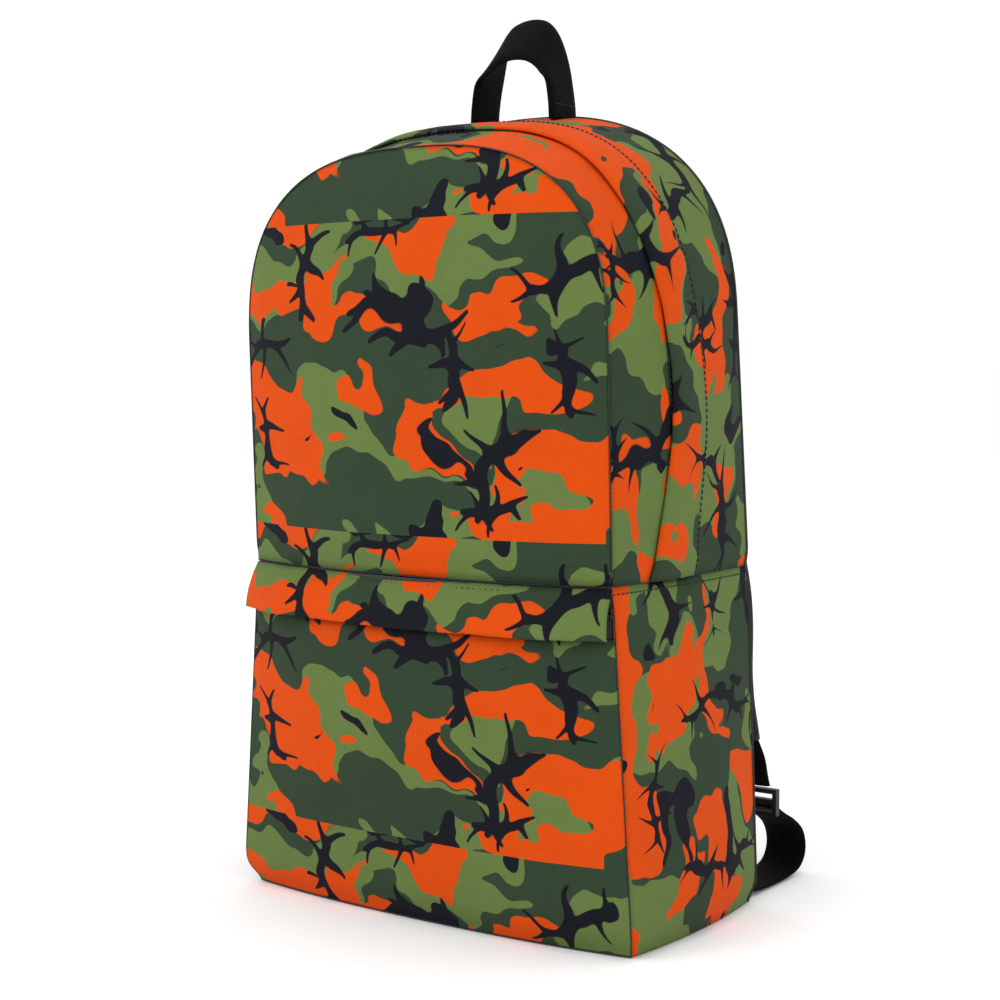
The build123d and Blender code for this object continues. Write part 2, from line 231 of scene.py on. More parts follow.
# One twig: branches as start, end and the two half widths.
BRANCHES = [((-26, 0), (-8, 4), 2.2, 4.2), ((-8, 4), (10, 1), 4.2, 3.4), ((10, 1), (27, 6), 3.4, 1.4),
            ((-12, 3), (-19, 15), 3.2, 1.4), ((0, 3), (5, 17), 3.4, 1.5), ((2, 2), (-6, -13), 3.4, 1.6),
            ((12, 1), (19, -12), 3.0, 1.3), ((-20, 1), (-27, -9), 2.4, 1.4)]


def twig_group():
    """A node group giving the signed distance, in millimetres, from one branching twig."""
    group = bpy.data.node_groups.new("twig", "ShaderNodeTree")
    group.interface.new_socket("place", in_out="INPUT", socket_type="NodeSocketVector")
    group.interface.new_socket("distance", in_out="OUTPUT", socket_type="NodeSocketFloat")
    n = Nodes("twig", group)
    place = n.add("NodeGroupInput").outputs[0]
    total = None
    for (ax, ay), (bx, by), start, end in BRANCHES:
        span = (bx - ax, by - ay, 0.0)
        length2 = span[0] ** 2 + span[1] ** 2
        if total is not None:
            place = n.after(place, total)
        away = n.vector("SUBTRACT", place, (float(ax), float(ay), 0.0))
        share = n.ramp(n.vector("DOT_PRODUCT", away, span), 0.0, length2)
        nearest = n.vector("MULTIPLY_ADD", (-span[0], -span[1], 0.0), share, away)
        gap = n.math("SUBTRACT", n.vector("LENGTH", nearest), n.ramp(share, 0, 1, start, end))
        total = gap if total is None else n.math("SMOOTH_MIN", total, gap, 4.0)
    n.link(total, n.add("NodeGroupOutput").inputs[0])
    return group


TWIG = twig_group()


def camo(name, offset=(0.0, 0.0), repeat=True, squeeze=1.9, orange_from=0.605, olive_from=0.60, thin=0.0):
    """Woodland print in crisp flat colours on a fine twill; the pattern lies in the UV map, in metres.

    squeeze flattens the blotches, a higher orange_from or olive_from leaves less of that colour, and thin
    takes millimetres off the twigs.
    """
    n = Nodes(name)
    uv, run_u, run_v = n.print_place()
    across = n.math("ADD", n.math("MULTIPLY", run_u, 1000.0), offset[0])
    up = n.math("ADD", n.math("MULTIPLY", run_v, 1000.0), offset[1])
    if repeat:
        up = n.math("MULTIPLY", n.math("FRACT", n.math("DIVIDE", up, REPEAT)), REPEAT)
    join = n.add("ShaderNodeCombineXYZ")
    n.link(across, join.inputs[0])
    n.link(up, join.inputs[1])
    flat = join.outputs[0]

    def swirl(scale, amount, seed):
        shifted = n.vector("ADD", flat, (seed * 37.0, seed * 91.0, 0.0))
        texture = n.noise(shifted, scale, 0.0)
        centred = n.vector("SUBTRACT", texture.outputs["Color"], (0.5, 0.5, 0.5))
        return n.vector("MULTIPLY", centred, (amount, amount, 0.0))

    lobed = n.vector("ADD", flat, swirl(0.03, 44.0, 1))
    lobed = n.vector("ADD", lobed, swirl(0.085, 15.0, 2))

    def field(seed, scale, flatten=squeeze):
        stretched = n.vector("MULTIPLY", lobed, (1.0, flatten, 1.0))
        return n.noise(n.vector("ADD", stretched, (seed, seed * 1.7, seed)), scale, 0.0).outputs["Fac"]

    def guide(patches):
        total = None
        for x, y, wide, tall in patches:
            away = n.vector("SUBTRACT", lobed, (x, y, 0.0))
            reach = n.vector("LENGTH", n.vector("DIVIDE", away, (wide, tall, 1.0)))
            weight = n.ramp(reach, 0.45, 1.45, 1.0, 0.0)
            total = weight if total is None else n.math("MAXIMUM", total, weight)
        return total

    def over(value, threshold, soft=0.003):
        return n.ramp(value, threshold - soft, threshold + soft)

    def patchy(seed, scale, patches, pull, threshold):
        return over(n.math("ADD", field(seed, scale), n.math("MULTIPLY", guide(patches), pull)), threshold)

    olive = patchy(211.0, 0.022, OLIVE_PATCHES, 0.22, olive_from)
    orange = patchy(57.0, 0.02, ORANGE_PATCHES, 0.25, orange_from)

    grown = flat
    if not repeat:
        folded = n.add("ShaderNodeCombineXYZ")
        turned = n.math("PINGPONG", n.math("ADD", across, 400.0), TWIG_FIELD[0])
        n.link(n.math("SUBTRACT", turned, TWIG_FIELD[0] / 2), folded.inputs[0])
        n.link(n.math("PINGPONG", up, TWIG_FIELD[1]), folded.inputs[1])
        grown = folded.outputs[0]
    bent = n.vector("ADD", grown, swirl(0.045, 17.0, 3))
    total = None
    for x, y, turn, size in TWIGS:
        mapping = n.add("ShaderNodeMapping", vector_type="TEXTURE")
        n.link(bent if total is None else n.after(bent, total), mapping.inputs["Vector"])
        mapping.inputs["Location"].default_value = (x, y, 0)
        mapping.inputs["Rotation"].default_value = (0, 0, math.radians(turn))
        mapping.inputs["Scale"].default_value = (size, size, 1)
        twig = n.add("ShaderNodeGroup", node_tree=TWIG)
        n.link(mapping.outputs[0], twig.inputs[0])
        total = twig.outputs[0] if total is None else n.math("MINIMUM", total, twig.outputs[0])
    blots = over(field(401.0, 0.036, 1.3), 0.712)
    black = n.math("MAXIMUM", n.ramp(total, -0.25 - thin, 0.25 - thin, 1.0, 0.0), blots)

    print_ = n.blend(black, n.blend(orange, n.blend(olive, GREEN, OLIVE), ORANGE), NIGHT)

    # Twill: fine diagonal ribs, with the threads across them half as strong.
    def ribs(direction, period):
        line = n.vector("DOT_PRODUCT", n.vector("MULTIPLY", uv, (1000.0, 1000.0, 0.0)), direction)
        return n.wave(line, period)

    cross_threads = n.math("MULTIPLY", ribs((0.94, -0.34, 0.0), 0.8), 0.5)
    weave = n.math("ADD", ribs((0.5, 0.866, 0.0), 1.25), cross_threads)
    cloudy = n.noise(flat, 0.05, 3.0).outputs["Fac"]
    shade = n.math("ADD", n.math("MULTIPLY", weave, 0.05), n.ramp(cloudy, 0.2, 0.8, 0.95, 1.04))
    tint = n.add("ShaderNodeVectorMath", operation="SCALE")
    n.link(print_, tint.inputs[0])
    n.link(shade, tint.inputs["Scale"])
    normal = n.bump(weave, 0.00012, 0.5)
    normal = n.bump(n.noise(flat, 0.03, 2.0).outputs["Fac"], 0.003, 0.35, under=normal)
    return n.finish(tint.outputs[0], n.ramp(weave, -1.5, 1.5, 0.84, 0.72), normal, specular=0.12)


def dark_cloth(name, colour, period, depth, rough=0.85, sheen=0.25):
    """A plain woven cloth: two crossed sets of threads in object space, with slight mottling."""
    n = Nodes(name)
    place = n.object_place()
    threads = [n.wave(n.vector("DOT_PRODUCT", place, direction), period)
               for direction in ((0.8, 0.35, 0.5), (-0.45, 0.2, 0.87))]
    weave = n.math("MULTIPLY", *threads)
    mottle = n.noise(place, 60.0, 4.0).outputs["Fac"]
    share = n.math("ADD", n.ramp(weave, -1, 1, 0, 0.5), n.ramp(mottle, 0.3, 0.7, 0, 0.5))
    shine = n.ramp(mottle, 0.3, 0.7, rough - 0.06, rough + 0.06)
    mixed = n.blend(share, colour, lighter(colour, 1.75, 0.004))
    return n.finish(mixed, shine, n.bump(weave, depth, 0.6), sheen)


def webbing_cloth(name):
    """Heavy webbing: herringbone ribs across a UV map in metres (u along the band, v across it)."""
    n = Nodes(name)
    uv, run, side = n.print_place()
    rib = n.wave(n.math("ADD", run, n.math("PINGPONG", side, 0.0032)), 0.0016)
    weave = n.math("ADD", rib, n.math("MULTIPLY", n.wave(side, 0.0021), 0.6))
    fuzz = n.noise(uv, 900.0, 3.0).outputs["Fac"]
    share = n.math("ADD", n.ramp(weave, -1.6, 1.6, 0.0, 0.7), n.ramp(fuzz, 0.3, 0.7, 0, 0.3))
    colour = n.blend(share, linear(2, 2, 2), linear(9, 9, 10))
    return n.finish(colour, n.ramp(fuzz, 0.3, 0.7, 0.72, 0.9), n.bump(weave, 0.0003, 0.7), specular=0.08)


def spacer_mesh(name):
    """Air mesh: rows of round holes in object space, painted near black inside as the shade that falls in
    them.
    """
    n = Nodes(name)
    hole = n.ramp(n.cells(n.object_place(), 420.0, 0.25), 0.18, 0.42)
    # Painted shade: the holes are near black, the mesh between them lighter.
    colour = n.blend(hole, linear(4, 4, 5), linear(26, 26, 28))
    shine = n.ramp(hole, 0, 1, 0.95, 0.7)
    return n.finish(colour, shine, n.bump(hole, 0.0007, 0.8), sheen=0.05, specular=0.3)


def moulded(name, colour, rough=0.42, grain=900.0, metal=0.0):
    """Moulded plastic or coated metal with a fine grain and rubbed patches."""
    n = Nodes(name)
    place = n.object_place()
    fine = n.noise(place, grain, 2.0).outputs["Fac"]
    worn = n.noise(place, 120.0, 4.0).outputs["Fac"]
    colour = n.blend(n.ramp(worn, 0.45, 0.75), colour, lighter(colour, 1.8, 0.01))
    shine = n.ramp(worn, 0.3, 0.7, rough - 0.08, rough + 0.12)
    return n.finish(colour, shine, n.bump(fine, 0.00008, 0.5), metal=metal)


def foam_block(name):
    n = Nodes(name)
    cells = n.cells(n.object_place(), 900.0)
    colour = n.blend(n.ramp(cells, 0.1, 0.6), linear(40, 40, 42), linear(88, 88, 92))
    return n.finish(colour, 0.95, n.bump(cells, 0.0004, 0.6))


PRINT_FRONT = camo("print_front", offset=(0.0, -206.0 + 3 * REPEAT),
                   orange_from=0.638, olive_from=0.61, thin=0.5)
PRINT_SIDE = camo("print_side", offset=(31.0, 10.0), repeat=False, squeeze=1.35,
                  orange_from=0.59, olive_from=0.54, thin=1.3)
PRINT_LOWER_SIDE = camo("print_lower_side", offset=(-60.0, 75.0), repeat=False, squeeze=1.4,
                        orange_from=0.60, olive_from=0.54, thin=1.3)
WEBBING = webbing_cloth("black_webbing")
LINING = dark_cloth("silky_lining", linear(22, 22, 26), 0.0011, 0.00005, rough=0.42, sheen=0.1)
BINDING = dark_cloth("binding_tape", linear(14, 14, 15), 0.0014, 0.0002)
ZIP_TAPE = dark_cloth("zip_tape", linear(12, 12, 13), 0.0009, 0.00015)
STRAP_CLOTH = dark_cloth("strap_cloth", linear(8, 8, 9), 0.0013, 0.0002, sheen=0.03)
SLEEVE_CLOTH = dark_cloth("sleeve_cloth", linear(24, 24, 28), 0.0016, 0.00015, rough=0.6)
AIR_MESH = spacer_mesh("air_mesh")
FOAM = foam_block("foam")
COIL = moulded("zip_coil", linear(16, 16, 17), 0.35)
METAL = moulded("zip_metal", linear(24, 24, 26), 0.3, metal=0.6)
PLASTIC = moulded("buckle_plastic", linear(6, 6, 7), 0.55)
# Black thread for the stitches; the seam cords use it too, where it is partly painted shade in the seam
# gaps.
THREAD_AND_SEAM_SHADE = moulded("black_thread_and_seam_shade", linear(14, 14, 15), 0.7, grain=3000.0)

# The looks of the pieces that are shown as the CAD made them.
CAD_MATERIALS = {
    "camo_cloth": PRINT_SIDE, "lining": LINING, "binding_tape": BINDING, "zip_coil": COIL,
    "zip_tape": ZIP_TAPE, "zip_metal": METAL, "webbing": STRAP_CLOTH, "buckle_plastic": PLASTIC,
    "strap_cloth": STRAP_CLOTH, "air_mesh": AIR_MESH, "foam": FOAM, "sleeve_cloth": SLEEVE_CLOTH,
}
for part in frame["record"]["subparts"]:
    for held_slot in frame["nodes"][part["node"]].material_slots:
        held_slot.material = CAD_MATERIALS[part["material_slot"]]


# ---- mesh building -----------------------------------------------------------------------------------
def mesh(name, points, faces, material, uv=None, smooth_faces=True):
    """A mesh object from points in millimetres; uv is one pair per point, in millimetres of print."""
    data = bpy.data.meshes.new(name)
    vertices = [tuple(float(c) * MM for c in p) for p in points]
    data.from_pydata(vertices, [], [tuple(int(i) for i in f) for f in faces])
    data.materials.append(material)
    uv = np.zeros((len(vertices), 2)) if uv is None else np.asarray(uv, float) * MM
    corners = np.empty(len(data.loops), dtype=np.int32)
    data.loops.foreach_get("vertex_index", corners)
    layer = data.uv_layers.new(name="print")
    layer.data.foreach_set("uv", uv[corners].astype(np.float32).ravel())
    data.polygons.foreach_set("use_smooth", [smooth_faces] * len(data.polygons))
    data.validate()
    obj = bpy.data.objects.new(name, data)
    bpy.context.scene.collection.objects.link(obj)
    return obj


def place_piece(obj, body, slot, *replaced):
    """Puts a piece on its body, in place of the CAD nodes that it shows; slot is not used."""
    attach(obj, body)
    if replaced:
        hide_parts(*replaced)
    return obj


def rebuild(obj, change):
    """Runs change on an editable copy of an object's mesh, and puts the outcome back."""
    editable = bmesh.new()
    editable.from_mesh(obj.data)
    change(editable)
    editable.to_mesh(obj.data)
    editable.free()
    return obj


def drop_loose(editable):
    loose = [v for v in editable.verts if not v.link_faces]
    bmesh.ops.delete(editable, geom=loose, context="VERTS")


def face_outwards(editable):
    bmesh.ops.recalc_face_normals(editable, faces=editable.faces)


def unit(vectors):
    """Vectors, along the last axis, brought to length one."""
    return vectors / np.maximum(np.linalg.norm(vectors, axis=-1, keepdims=True), 1e-9)


def run_length(points):
    """The length of a path up to each of its points."""
    steps = np.linalg.norm(np.diff(points, axis=0), axis=1)
    return np.concatenate([[0], np.cumsum(steps)])


def evenly(rows, run, count):
    """Rows at an even pitch along a line of rows that lie at the distances in run."""
    places = np.linspace(0, run[-1], count)
    return np.stack([np.interp(places, run, column) for column in rows.T], axis=1)


def resample(rows, pitch):
    """Rows at a given pitch along a line of rows, whatever columns they have besides the point."""
    rows = np.asarray(rows, float)
    run = run_length(rows)
    return evenly(rows, run, max(2, int(round(run[-1] / pitch))) + 1)


def normals_of(grid, inside):
    """Unit normals of a grid of points, on the side that faces away from the point inside."""
    n = unit(np.cross(np.gradient(grid, axis=1), np.gradient(grid, axis=0)))
    return -n if np.sum(n * (grid - np.asarray(inside, float))) < 0 else n


def declare_sheet(grid):
    """Works out twice the area of each of a grid's cells, and keeps nothing."""
    across, up = grid[:-1, 1:] - grid[:-1, :-1], grid[1:, :-1] - grid[:-1, :-1]
    back_across, back_up = grid[1:, :-1] - grid[1:, 1:], grid[:-1, 1:] - grid[1:, 1:]
    halves = np.linalg.norm(np.cross(across, up), axis=2)
    halves = halves + np.linalg.norm(np.cross(back_across, back_up), axis=2)


def cloth(name, grid, uv, thick, material, inside, place, keep=None, held="stretched"):
    """A sheet with two faces and closed edges, from a grid of points on its outside.

    place is the body, the material slot and the CAD node that it shows; keep marks the cells that are cloth.
    """
    rows, cols = grid.shape[:2]
    n = normals_of(grid, inside)
    points = np.concatenate([grid.reshape(-1, 3), (grid - n * thick).reshape(-1, 3)])
    flipped = np.sum(np.cross(grid[0, 1] - grid[0, 0], grid[1, 0] - grid[0, 0]) * n[0, 0]) < 0
    if keep is None:
        keep = np.ones((rows - 1, cols - 1), bool)
    low = rows * cols
    faces = []
    for i, j in zip(*np.nonzero(keep)):
        a, b = i * cols + j, i * cols + j + 1
        c, d = a + cols, b + cols
        made = [(a, b, d, c), (a + low, c + low, d + low, b + low)]
        for e, f, di, dj in ((a, b, -1, 0), (d, c, 1, 0), (c, a, 0, -1), (b, d, 0, 1)):
            ii, jj = i + di, j + dj
            if not (0 <= ii < rows - 1 and 0 <= jj < cols - 1 and keep[ii, jj]):
                made.append((f, e, e + low, f + low))
        faces += [face[::-1] for face in made] if flipped else made
    uvs = np.concatenate([uv.reshape(-1, 2)] * 2)
    obj = rebuild(mesh(name, points, faces, material, uvs), drop_loose)
    if held:
        declare_sheet(grid)
    return place_piece(obj, *place)


def crumple(grid, n, amount, size, seed, fade=1.0):
    """Moves points along their normals by smooth noise, less where fade is small."""
    shift = np.zeros(grid.shape[:2])
    for cell in np.ndindex(shift.shape):
        p = Vector(grid[cell]) / size + Vector((seed, seed * 2.3, 0))
        shift[cell] = noise.noise(p) + 0.45 * noise.noise(p * 2.7)
    return grid + n * (shift * fade * amount)[..., None]


def ring_faces(rings, sides, base=0, flip=False):
    """Faces of a tube whose points lie in rings, one ring after another, with a cap at both ends."""
    faces = []
    for i in range(rings - 1):
        for k in range(sides):
            a, b = base + i * sides + k, base + i * sides + (k + 1) % sides
            faces.append((a, a + sides, b + sides, b) if flip else (a, b, b + sides, a + sides))
    first, last = (tuple(base + i * sides + k for k in range(sides)) for i in (0, rings - 1))
    return faces + ([first, last[::-1]] if flip else [first[::-1], last])


def tube_piece(name, points, radius, material, body, sides=6):
    """A thin round tube along a path: a rolled binding, and also the dark seam cords, which are partly
    thread and partly painted shade in the seam gaps.
    """
    path = np.asarray(points, float)
    tangent = unit(np.gradient(path, axis=0))
    one = unit(np.cross(tangent, [0.31, 0.17, 0.93]))
    two = np.cross(tangent, one)
    rings = []
    for angle in 2 * math.pi * np.arange(sides) / sides:
        rings.append(path + radius * (math.cos(angle) * one + math.sin(angle) * two))
    verts = np.stack(rings, axis=1).reshape(-1, 3)
    faces = ring_faces(len(path), sides, flip=True)
    return place_piece(mesh(name, verts, faces, material), body, "binding_tape")


STITCH_LENGTH = 2.3
# Rings of one stitch: place along it as a share of its length, share of its radius, and how far it is sunk.
STITCH_RINGS = ((-0.5, 0.45, 0.35), (-0.28, 1.0, 0.0), (0.28, 1.0, 0.0), (0.5, 0.45, 0.35))


def stitches(name, points, body, normals, pitch=3.4, radius=0.34, lift=0.15):
    """A row of sewn stitches: short threads, a little sunk at both ends."""
    points = np.asarray(points, float)
    row = resample(np.concatenate([points, np.broadcast_to(normals, points.shape)], axis=1), pitch)
    verts, faces = [], []
    for a, b in zip(row[:-1], row[1:]):
        along, up = unit(b[:3] - a[:3]), unit(a[3:6])
        side = np.cross(along, up)
        centre = (a[:3] + b[:3]) / 2 + up * lift
        faces += ring_faces(len(STITCH_RINGS), 6, len(verts))
        for reach, scale, sink in STITCH_RINGS:
            middle = centre + along * reach * STITCH_LENGTH - up * sink
            for angle in math.pi * np.arange(6) / 3:
                verts.append(middle + radius * scale * (math.cos(angle) * side + math.sin(angle) * up))
    return place_piece(mesh(name, verts, faces, THREAD_AND_SEAM_SHADE), body, "binding_tape")


# ---- the bag's skin ----------------------------------------------------------------------------------
SIDE_STEPS, ARCH_STEPS = 30, 60
# Columns across the front, from -1 to 1, closer together towards the side seams.
COLUMN_ANGLES = np.linspace(-1, 1, 65) * math.pi / 2 * 0.86
COLUMNS = np.sin(COLUMN_ANGLES) / math.sin(COLUMN_ANGLES[-1])


def arch_numbers(t):
    """Half width, springing and top height, squareness, and y at the middle seam and at the top, at t."""
    return (
        mix(FRONT_HALF, BACK_HALF, t),
        mix(FRONT_SPRING_Z, BACK_SPRING_Z, t),
        mix(FRONT_TOP_Z, BACK_TOP_Z, t),
        mix(FRONT_SQUARE, BACK_SQUARE, t),
        mix(FRONT_Y, BACK_Y, t),
        mix(FRONT_TOP_Y, BACK_TOP_Y, t),
    )


def arch_outline(t):
    """Points round the arch at t, from its left foot to its right foot."""
    half, spring, top, square, y_mid, y_top = arch_numbers(t)
    left = at(-half, mix(MID_Z, spring, np.linspace(0, 1, SIDE_STEPS, endpoint=False)))
    angle = np.linspace(0, math.pi, 2001)
    cos, sin = np.cos(angle), np.sin(angle)
    x = -half * np.sign(cos) * np.abs(cos) ** (2 / square)
    z = spring + (top - spring) * np.abs(sin) ** (2 / square)
    curve = resample(at(x, z), 1.0)
    arch = evenly(curve, np.arange(len(curve)), ARCH_STEPS + 1)
    line = np.concatenate([left, arch, left[::-1] * [-1, 1]])
    y = y_mid + (y_top - y_mid) * (line[:, 1] - MID_Z) / (top - MID_Z)
    return at(line[:, 0], y, line[:, 1])


OUTLINE_SPANS = 8
OUTLINES = np.stack([arch_outline(t) for t in np.linspace(0, 1, OUTLINE_SPANS + 1)])
MIDDLE_OUTLINE = OUTLINES[OUTLINE_SPANS // 2]
# 1 on the bag's left side, where the storm flap covers the parked sliders.
PARKED = smooth(90, 112, -MIDDLE_OUTLINE[:, 0])


def gusset_surface(ts, lift=0.0):
    """Points round the gusset: ts and lift have a row for each line, and a number or a column per point."""
    count = OUTLINES.shape[1]
    ts = np.asarray(ts, float)
    ts = np.repeat(ts[:, None], count, axis=1) if ts.ndim == 1 else ts
    lift = np.asarray(lift, float)
    lift = lift[:, None] if lift.ndim == 1 else lift
    step = np.clip(ts * OUTLINE_SPANS, 0, OUTLINE_SPANS - 1e-4)
    low = step.astype(int)
    share = (step - low)[..., None]
    column = np.arange(count)[None, :]
    skin = OUTLINES[low, column] * (1 - share) + OUTLINES[low + 1, column] * share
    along = np.gradient(skin[..., [0, 2]], axis=1)
    out = unit(at(-along[..., 1], along[..., 0]))
    x, height = skin[..., 0], skin[..., 2]
    # The right side is stuffed out; the left lies close to the parked sliders.
    full = np.where(x > 0, 1.0, mix(1.0, 0.12, smooth(90, 112, -x)))
    puff = 3.5 + 5.5 * bell(height, 268, 52) - 1.2 * smooth(340, 400, height)
    puff = puff * np.sin(math.pi * np.clip(ts, 0, 1)) ** 0.8 * full
    shift = (puff - 1.6 * bell(height, MID_Z, 5) + lift)[..., None] * out
    return at(x + shift[..., 0], skin[..., 1], height + shift[..., 1])


def floor_turn(height):
    """How far the walls draw in as they turn under to the base."""
    return 8.0 * bell(height, 0.0, 9.0)


def front_crown(height):
    """How far the front's middle stands forward of its side seams at each height."""
    lower = mix(9.0, 22.5, smooth(-10, 150, height))
    upper = mix(22.5, 19.0, smooth(200, 380, height))
    return np.where(height < MID_Z, lower, upper) - 4.0 * bell(height, MID_Z, 9)


def lid_surface():
    """The upper front panel: straight rows to the springing, then a square bent to the arch."""
    half, spring, top, square, y_mid, y_top = arch_numbers(0.0)
    grid = []
    for z in np.linspace(MID_Z + 0.2, spring, 26, endpoint=False):
        grid.append([(half * u, abs(u), z) for u in COLUMNS])
    for v in np.linspace(0, 1, 30) ** 0.92:
        row = []
        for u in COLUMNS:
            big = max(abs(u), v, 1e-9)
            f = big / max((abs(u) ** square + v**square) ** (1 / square), 1e-9)
            row.append((half * u * f, big, spring + (top - spring) * v * f))
        grid.append(row)
    x, reach, z = np.moveaxis(np.array(grid), 2, 0)
    seam = y_mid + (y_top - y_mid) * (z - MID_Z) / (top - MID_Z)
    return at(x, seam - front_crown(z) * (1 - reach**2.4) ** 0.9, z)


def half_width(height, share):
    """Half width of the lower half: share is 0 at the front seam and 1 at the back."""
    return BASE_HALF + (mix(FRONT_HALF, BACK_HALF, share) - BASE_HALF) * height / MID_Z


def lower_front(heights, lift=0.0):
    """Points on the crowned lower front; lift moves its middle forward."""
    z = np.asarray(heights, float)[:, None]
    lift = np.asarray(lift, float)
    lift = lift[:, None] if lift.ndim else lift
    crown = front_crown(z) * (1 - np.abs(COLUMNS) ** 2.4)
    y = FRONT_Y - crown - lift * (1 - np.abs(COLUMNS) ** 8) + floor_turn(z)
    return at(COLUMNS * (half_width(z, 0.0) - 0.7 * floor_turn(z)), y, z)


def side_surface(sign, heights, shares, lift=0.0):
    """Points on a side of the lower half: shares run from the front seam to the back."""
    z = np.asarray(heights, float)[:, None]
    s = np.asarray(shares, float)[None, :]
    swell = 3.2 + 3.2 * np.sin(np.pi * np.clip(z / MID_Z, 0, 1)) + 1.5 * bell(z, 0, 40)
    swell = swell * np.sin(np.pi * s) ** 0.8
    dip = 1.6 * bell(z, MID_Z, 5) + 0.7 * floor_turn(z)
    return at(sign * (half_width(z, s) + swell - dip + lift), mix(FRONT_Y + floor_turn(z), BACK_Y, s), z)


def back_line(z):
    """How far back the back panel lies at a height."""
    return BACK_Y - np.maximum(z - MID_Z, 0) * BACK_LEAN


# ---- shell panels ------------------------------------------------------------------------------------
CLOTH = 1.1
LID_INSIDE, FRONT_INSIDE, SIDE_INSIDE = (0, 0, 290), (0, 200, 90), (0, 0, 90)
SIDES = (("right", 1), ("left", -1))


def across_up(grid):
    """Print coordinates of a front panel: across the bag and up it."""
    return grid[..., [0, 2]]


def seam_fade(grid, width=0.12):
    """0 along the edges of a grid and 1 from a share of its size inwards."""
    i, j = (np.linspace(0, 1, count) for count in grid.shape[:2])
    edge = np.minimum(np.minimum(i, 1 - i)[:, None], np.minimum(j, 1 - j)[None, :])
    return smooth(0, width, edge)


def fold_lid(obj):
    """Takes a lid piece off its body and bakes its place into its mesh, so that it stays where it is."""
    obj.parent = None
    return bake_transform(obj)


def front_panel(name, grid, inside, wrinkles, place):
    """A printed front panel, with two sizes of wrinkle given as depth, size and seed."""
    n = normals_of(grid, inside)
    for depth, size, seed in wrinkles:
        grid = crumple(grid, n, depth, size, seed, seam_fade(grid))
    return cloth(name, grid, across_up(grid), CLOTH, PRINT_FRONT, inside, place)


def gusset_piece(name, ts, body, node, lift=0.0, seed=1.0, wrinkle=0.8):
    """A strip of cloth round the gusset; gives the piece, its grid and the grid's normals."""
    grid = gusset_surface(ts, lift)
    n = normals_of(grid, LID_INSIDE)
    grid = crumple(grid, n, wrinkle, 34.0, seed, seam_fade(grid, 0.25))
    run = run_length(grid[len(ts) // 2])
    uv = at((run - run[-1] / 2)[None, :], grid[..., 1] + 70.0)
    return cloth(name, grid, uv, CLOTH, PRINT_SIDE, LID_INSIDE, (body, "camo_cloth", node)), grid, n


fold_lid(front_panel("lid_front_cloth", lid_surface(), LID_INSIDE, ((2.2, 70.0, 4.0), (0.7, 22.0, 9.0)),
                     ("lid", "camo_cloth", "lid_front_panel")))
fold_lid(gusset_piece("lid_gusset_cloth", np.linspace(0.0, 0.36, 12), "lid", "lid_gusset",
                      seed=3.0, wrinkle=1.7)[0])
gusset_piece("rear_gusset_cloth", np.linspace(0.53, 1.0, 16), "pack", "rear_gusset", seed=5.0)

# The flap's free edge and its sewn edge both wander between front and back as they go up.
FLAP_HEIGHTS = [183, 199, 222, 256, 295, 324, 347, 366, 382, 401, 415]
FLAP_FREE_TS = [0.22, 0.25, 0.29, 0.33, 0.35, 0.33, 0.29, 0.27, 0.27, 0.31, 0.34]
FLAP_SEWN_TS = [0.54, 0.545, 0.56, 0.585, 0.595, 0.58, 0.56, 0.55, 0.55, 0.575, 0.60]
across_flap = np.linspace(0, 1, 13)
flap_free = np.interp(MIDDLE_OUTLINE[:, 2], FLAP_HEIGHTS, FLAP_FREE_TS)
flap_sewn = np.interp(MIDDLE_OUTLINE[:, 2], FLAP_HEIGHTS, FLAP_SEWN_TS)
flap_ts = mix(flap_free[None, :], flap_sewn[None, :], across_flap[:, None])
flap_lift = mix(2.4, 1.2, smooth(0, 1, across_flap)) + 1.2 * np.sin(math.pi * across_flap)
flap_lift[0] -= 0.6
flap_lift = flap_lift[:, None] + 4.6 * PARKED[None, :] * (1 - across_flap[:, None] ** 3)
_, flap_grid, flap_normals = gusset_piece(
    "storm_flap_cloth", flap_ts, "pack", "storm_flap", flap_lift, seed=5.0, wrinkle=1.5)

FOOT_HEIGHTS = [0.9, 2.2, 4.0, 6.5]  # closer rows where the walls turn under
pocket_heights = np.concatenate([FOOT_HEIGHTS, np.linspace(10, POCKET_TOP_Z + 1.0, 38)])
front_panel("pocket_cloth", lower_front(pocket_heights), FRONT_INSIDE,
            ((2.0, 80.0, 11.0), (0.6, 24.0, 15.0)), ("pack", "camo_cloth", "pocket_panel"))

HOOD_INSIDE = (0, 200, 170)
hood_rows = np.array([183.8, 181.5, 178, 173.5, 169, 164.5, 161, 159.5, 159.0])
hood_lift = np.array([0.2, 1.4, 3.6, 5.6, 6.8, 7.6, 8.0, 8.0, 7.4])
hood_grid = lower_front(hood_rows, hood_lift * 0.3)
hood_ends = smooth(0.35, 0.8, np.abs(COLUMNS)) * np.where(COLUMNS < 0, 0.6, 0.5)
hood_grid[..., 1] -= hood_lift[:, None] * (0.5 + hood_ends)[None, :]
hood_grid = crumple(hood_grid, normals_of(hood_grid, HOOD_INSIDE), 0.8, 26.0, 21.0)
hood = cloth("pocket_flap_cloth", hood_grid, across_up(hood_grid), CLOTH, PRINT_FRONT, HOOD_INSIDE,
             ("pocket_flap", "camo_cloth", "pocket_flap"))
hood.parent = None
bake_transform(hood)

side_heights = np.concatenate([FOOT_HEIGHTS, np.linspace(10, MID_Z - 0.6, 40)])
side_shares = np.linspace(0, 1, 30)
for side_name, sign in SIDES:
    grid = side_surface(sign, side_heights, side_shares)
    grid = crumple(grid, normals_of(grid, SIDE_INSIDE), 1.6, 52.0, 31.0 + sign, seam_fade(grid))
    cloth(f"side_{side_name}_cloth", grid, at(grid[..., 2], grid[..., 1] + 60 * sign), CLOTH,
          PRINT_LOWER_SIDE, SIDE_INSIDE, ("pack", "camo_cloth", f"side_panel_{side_name}"))

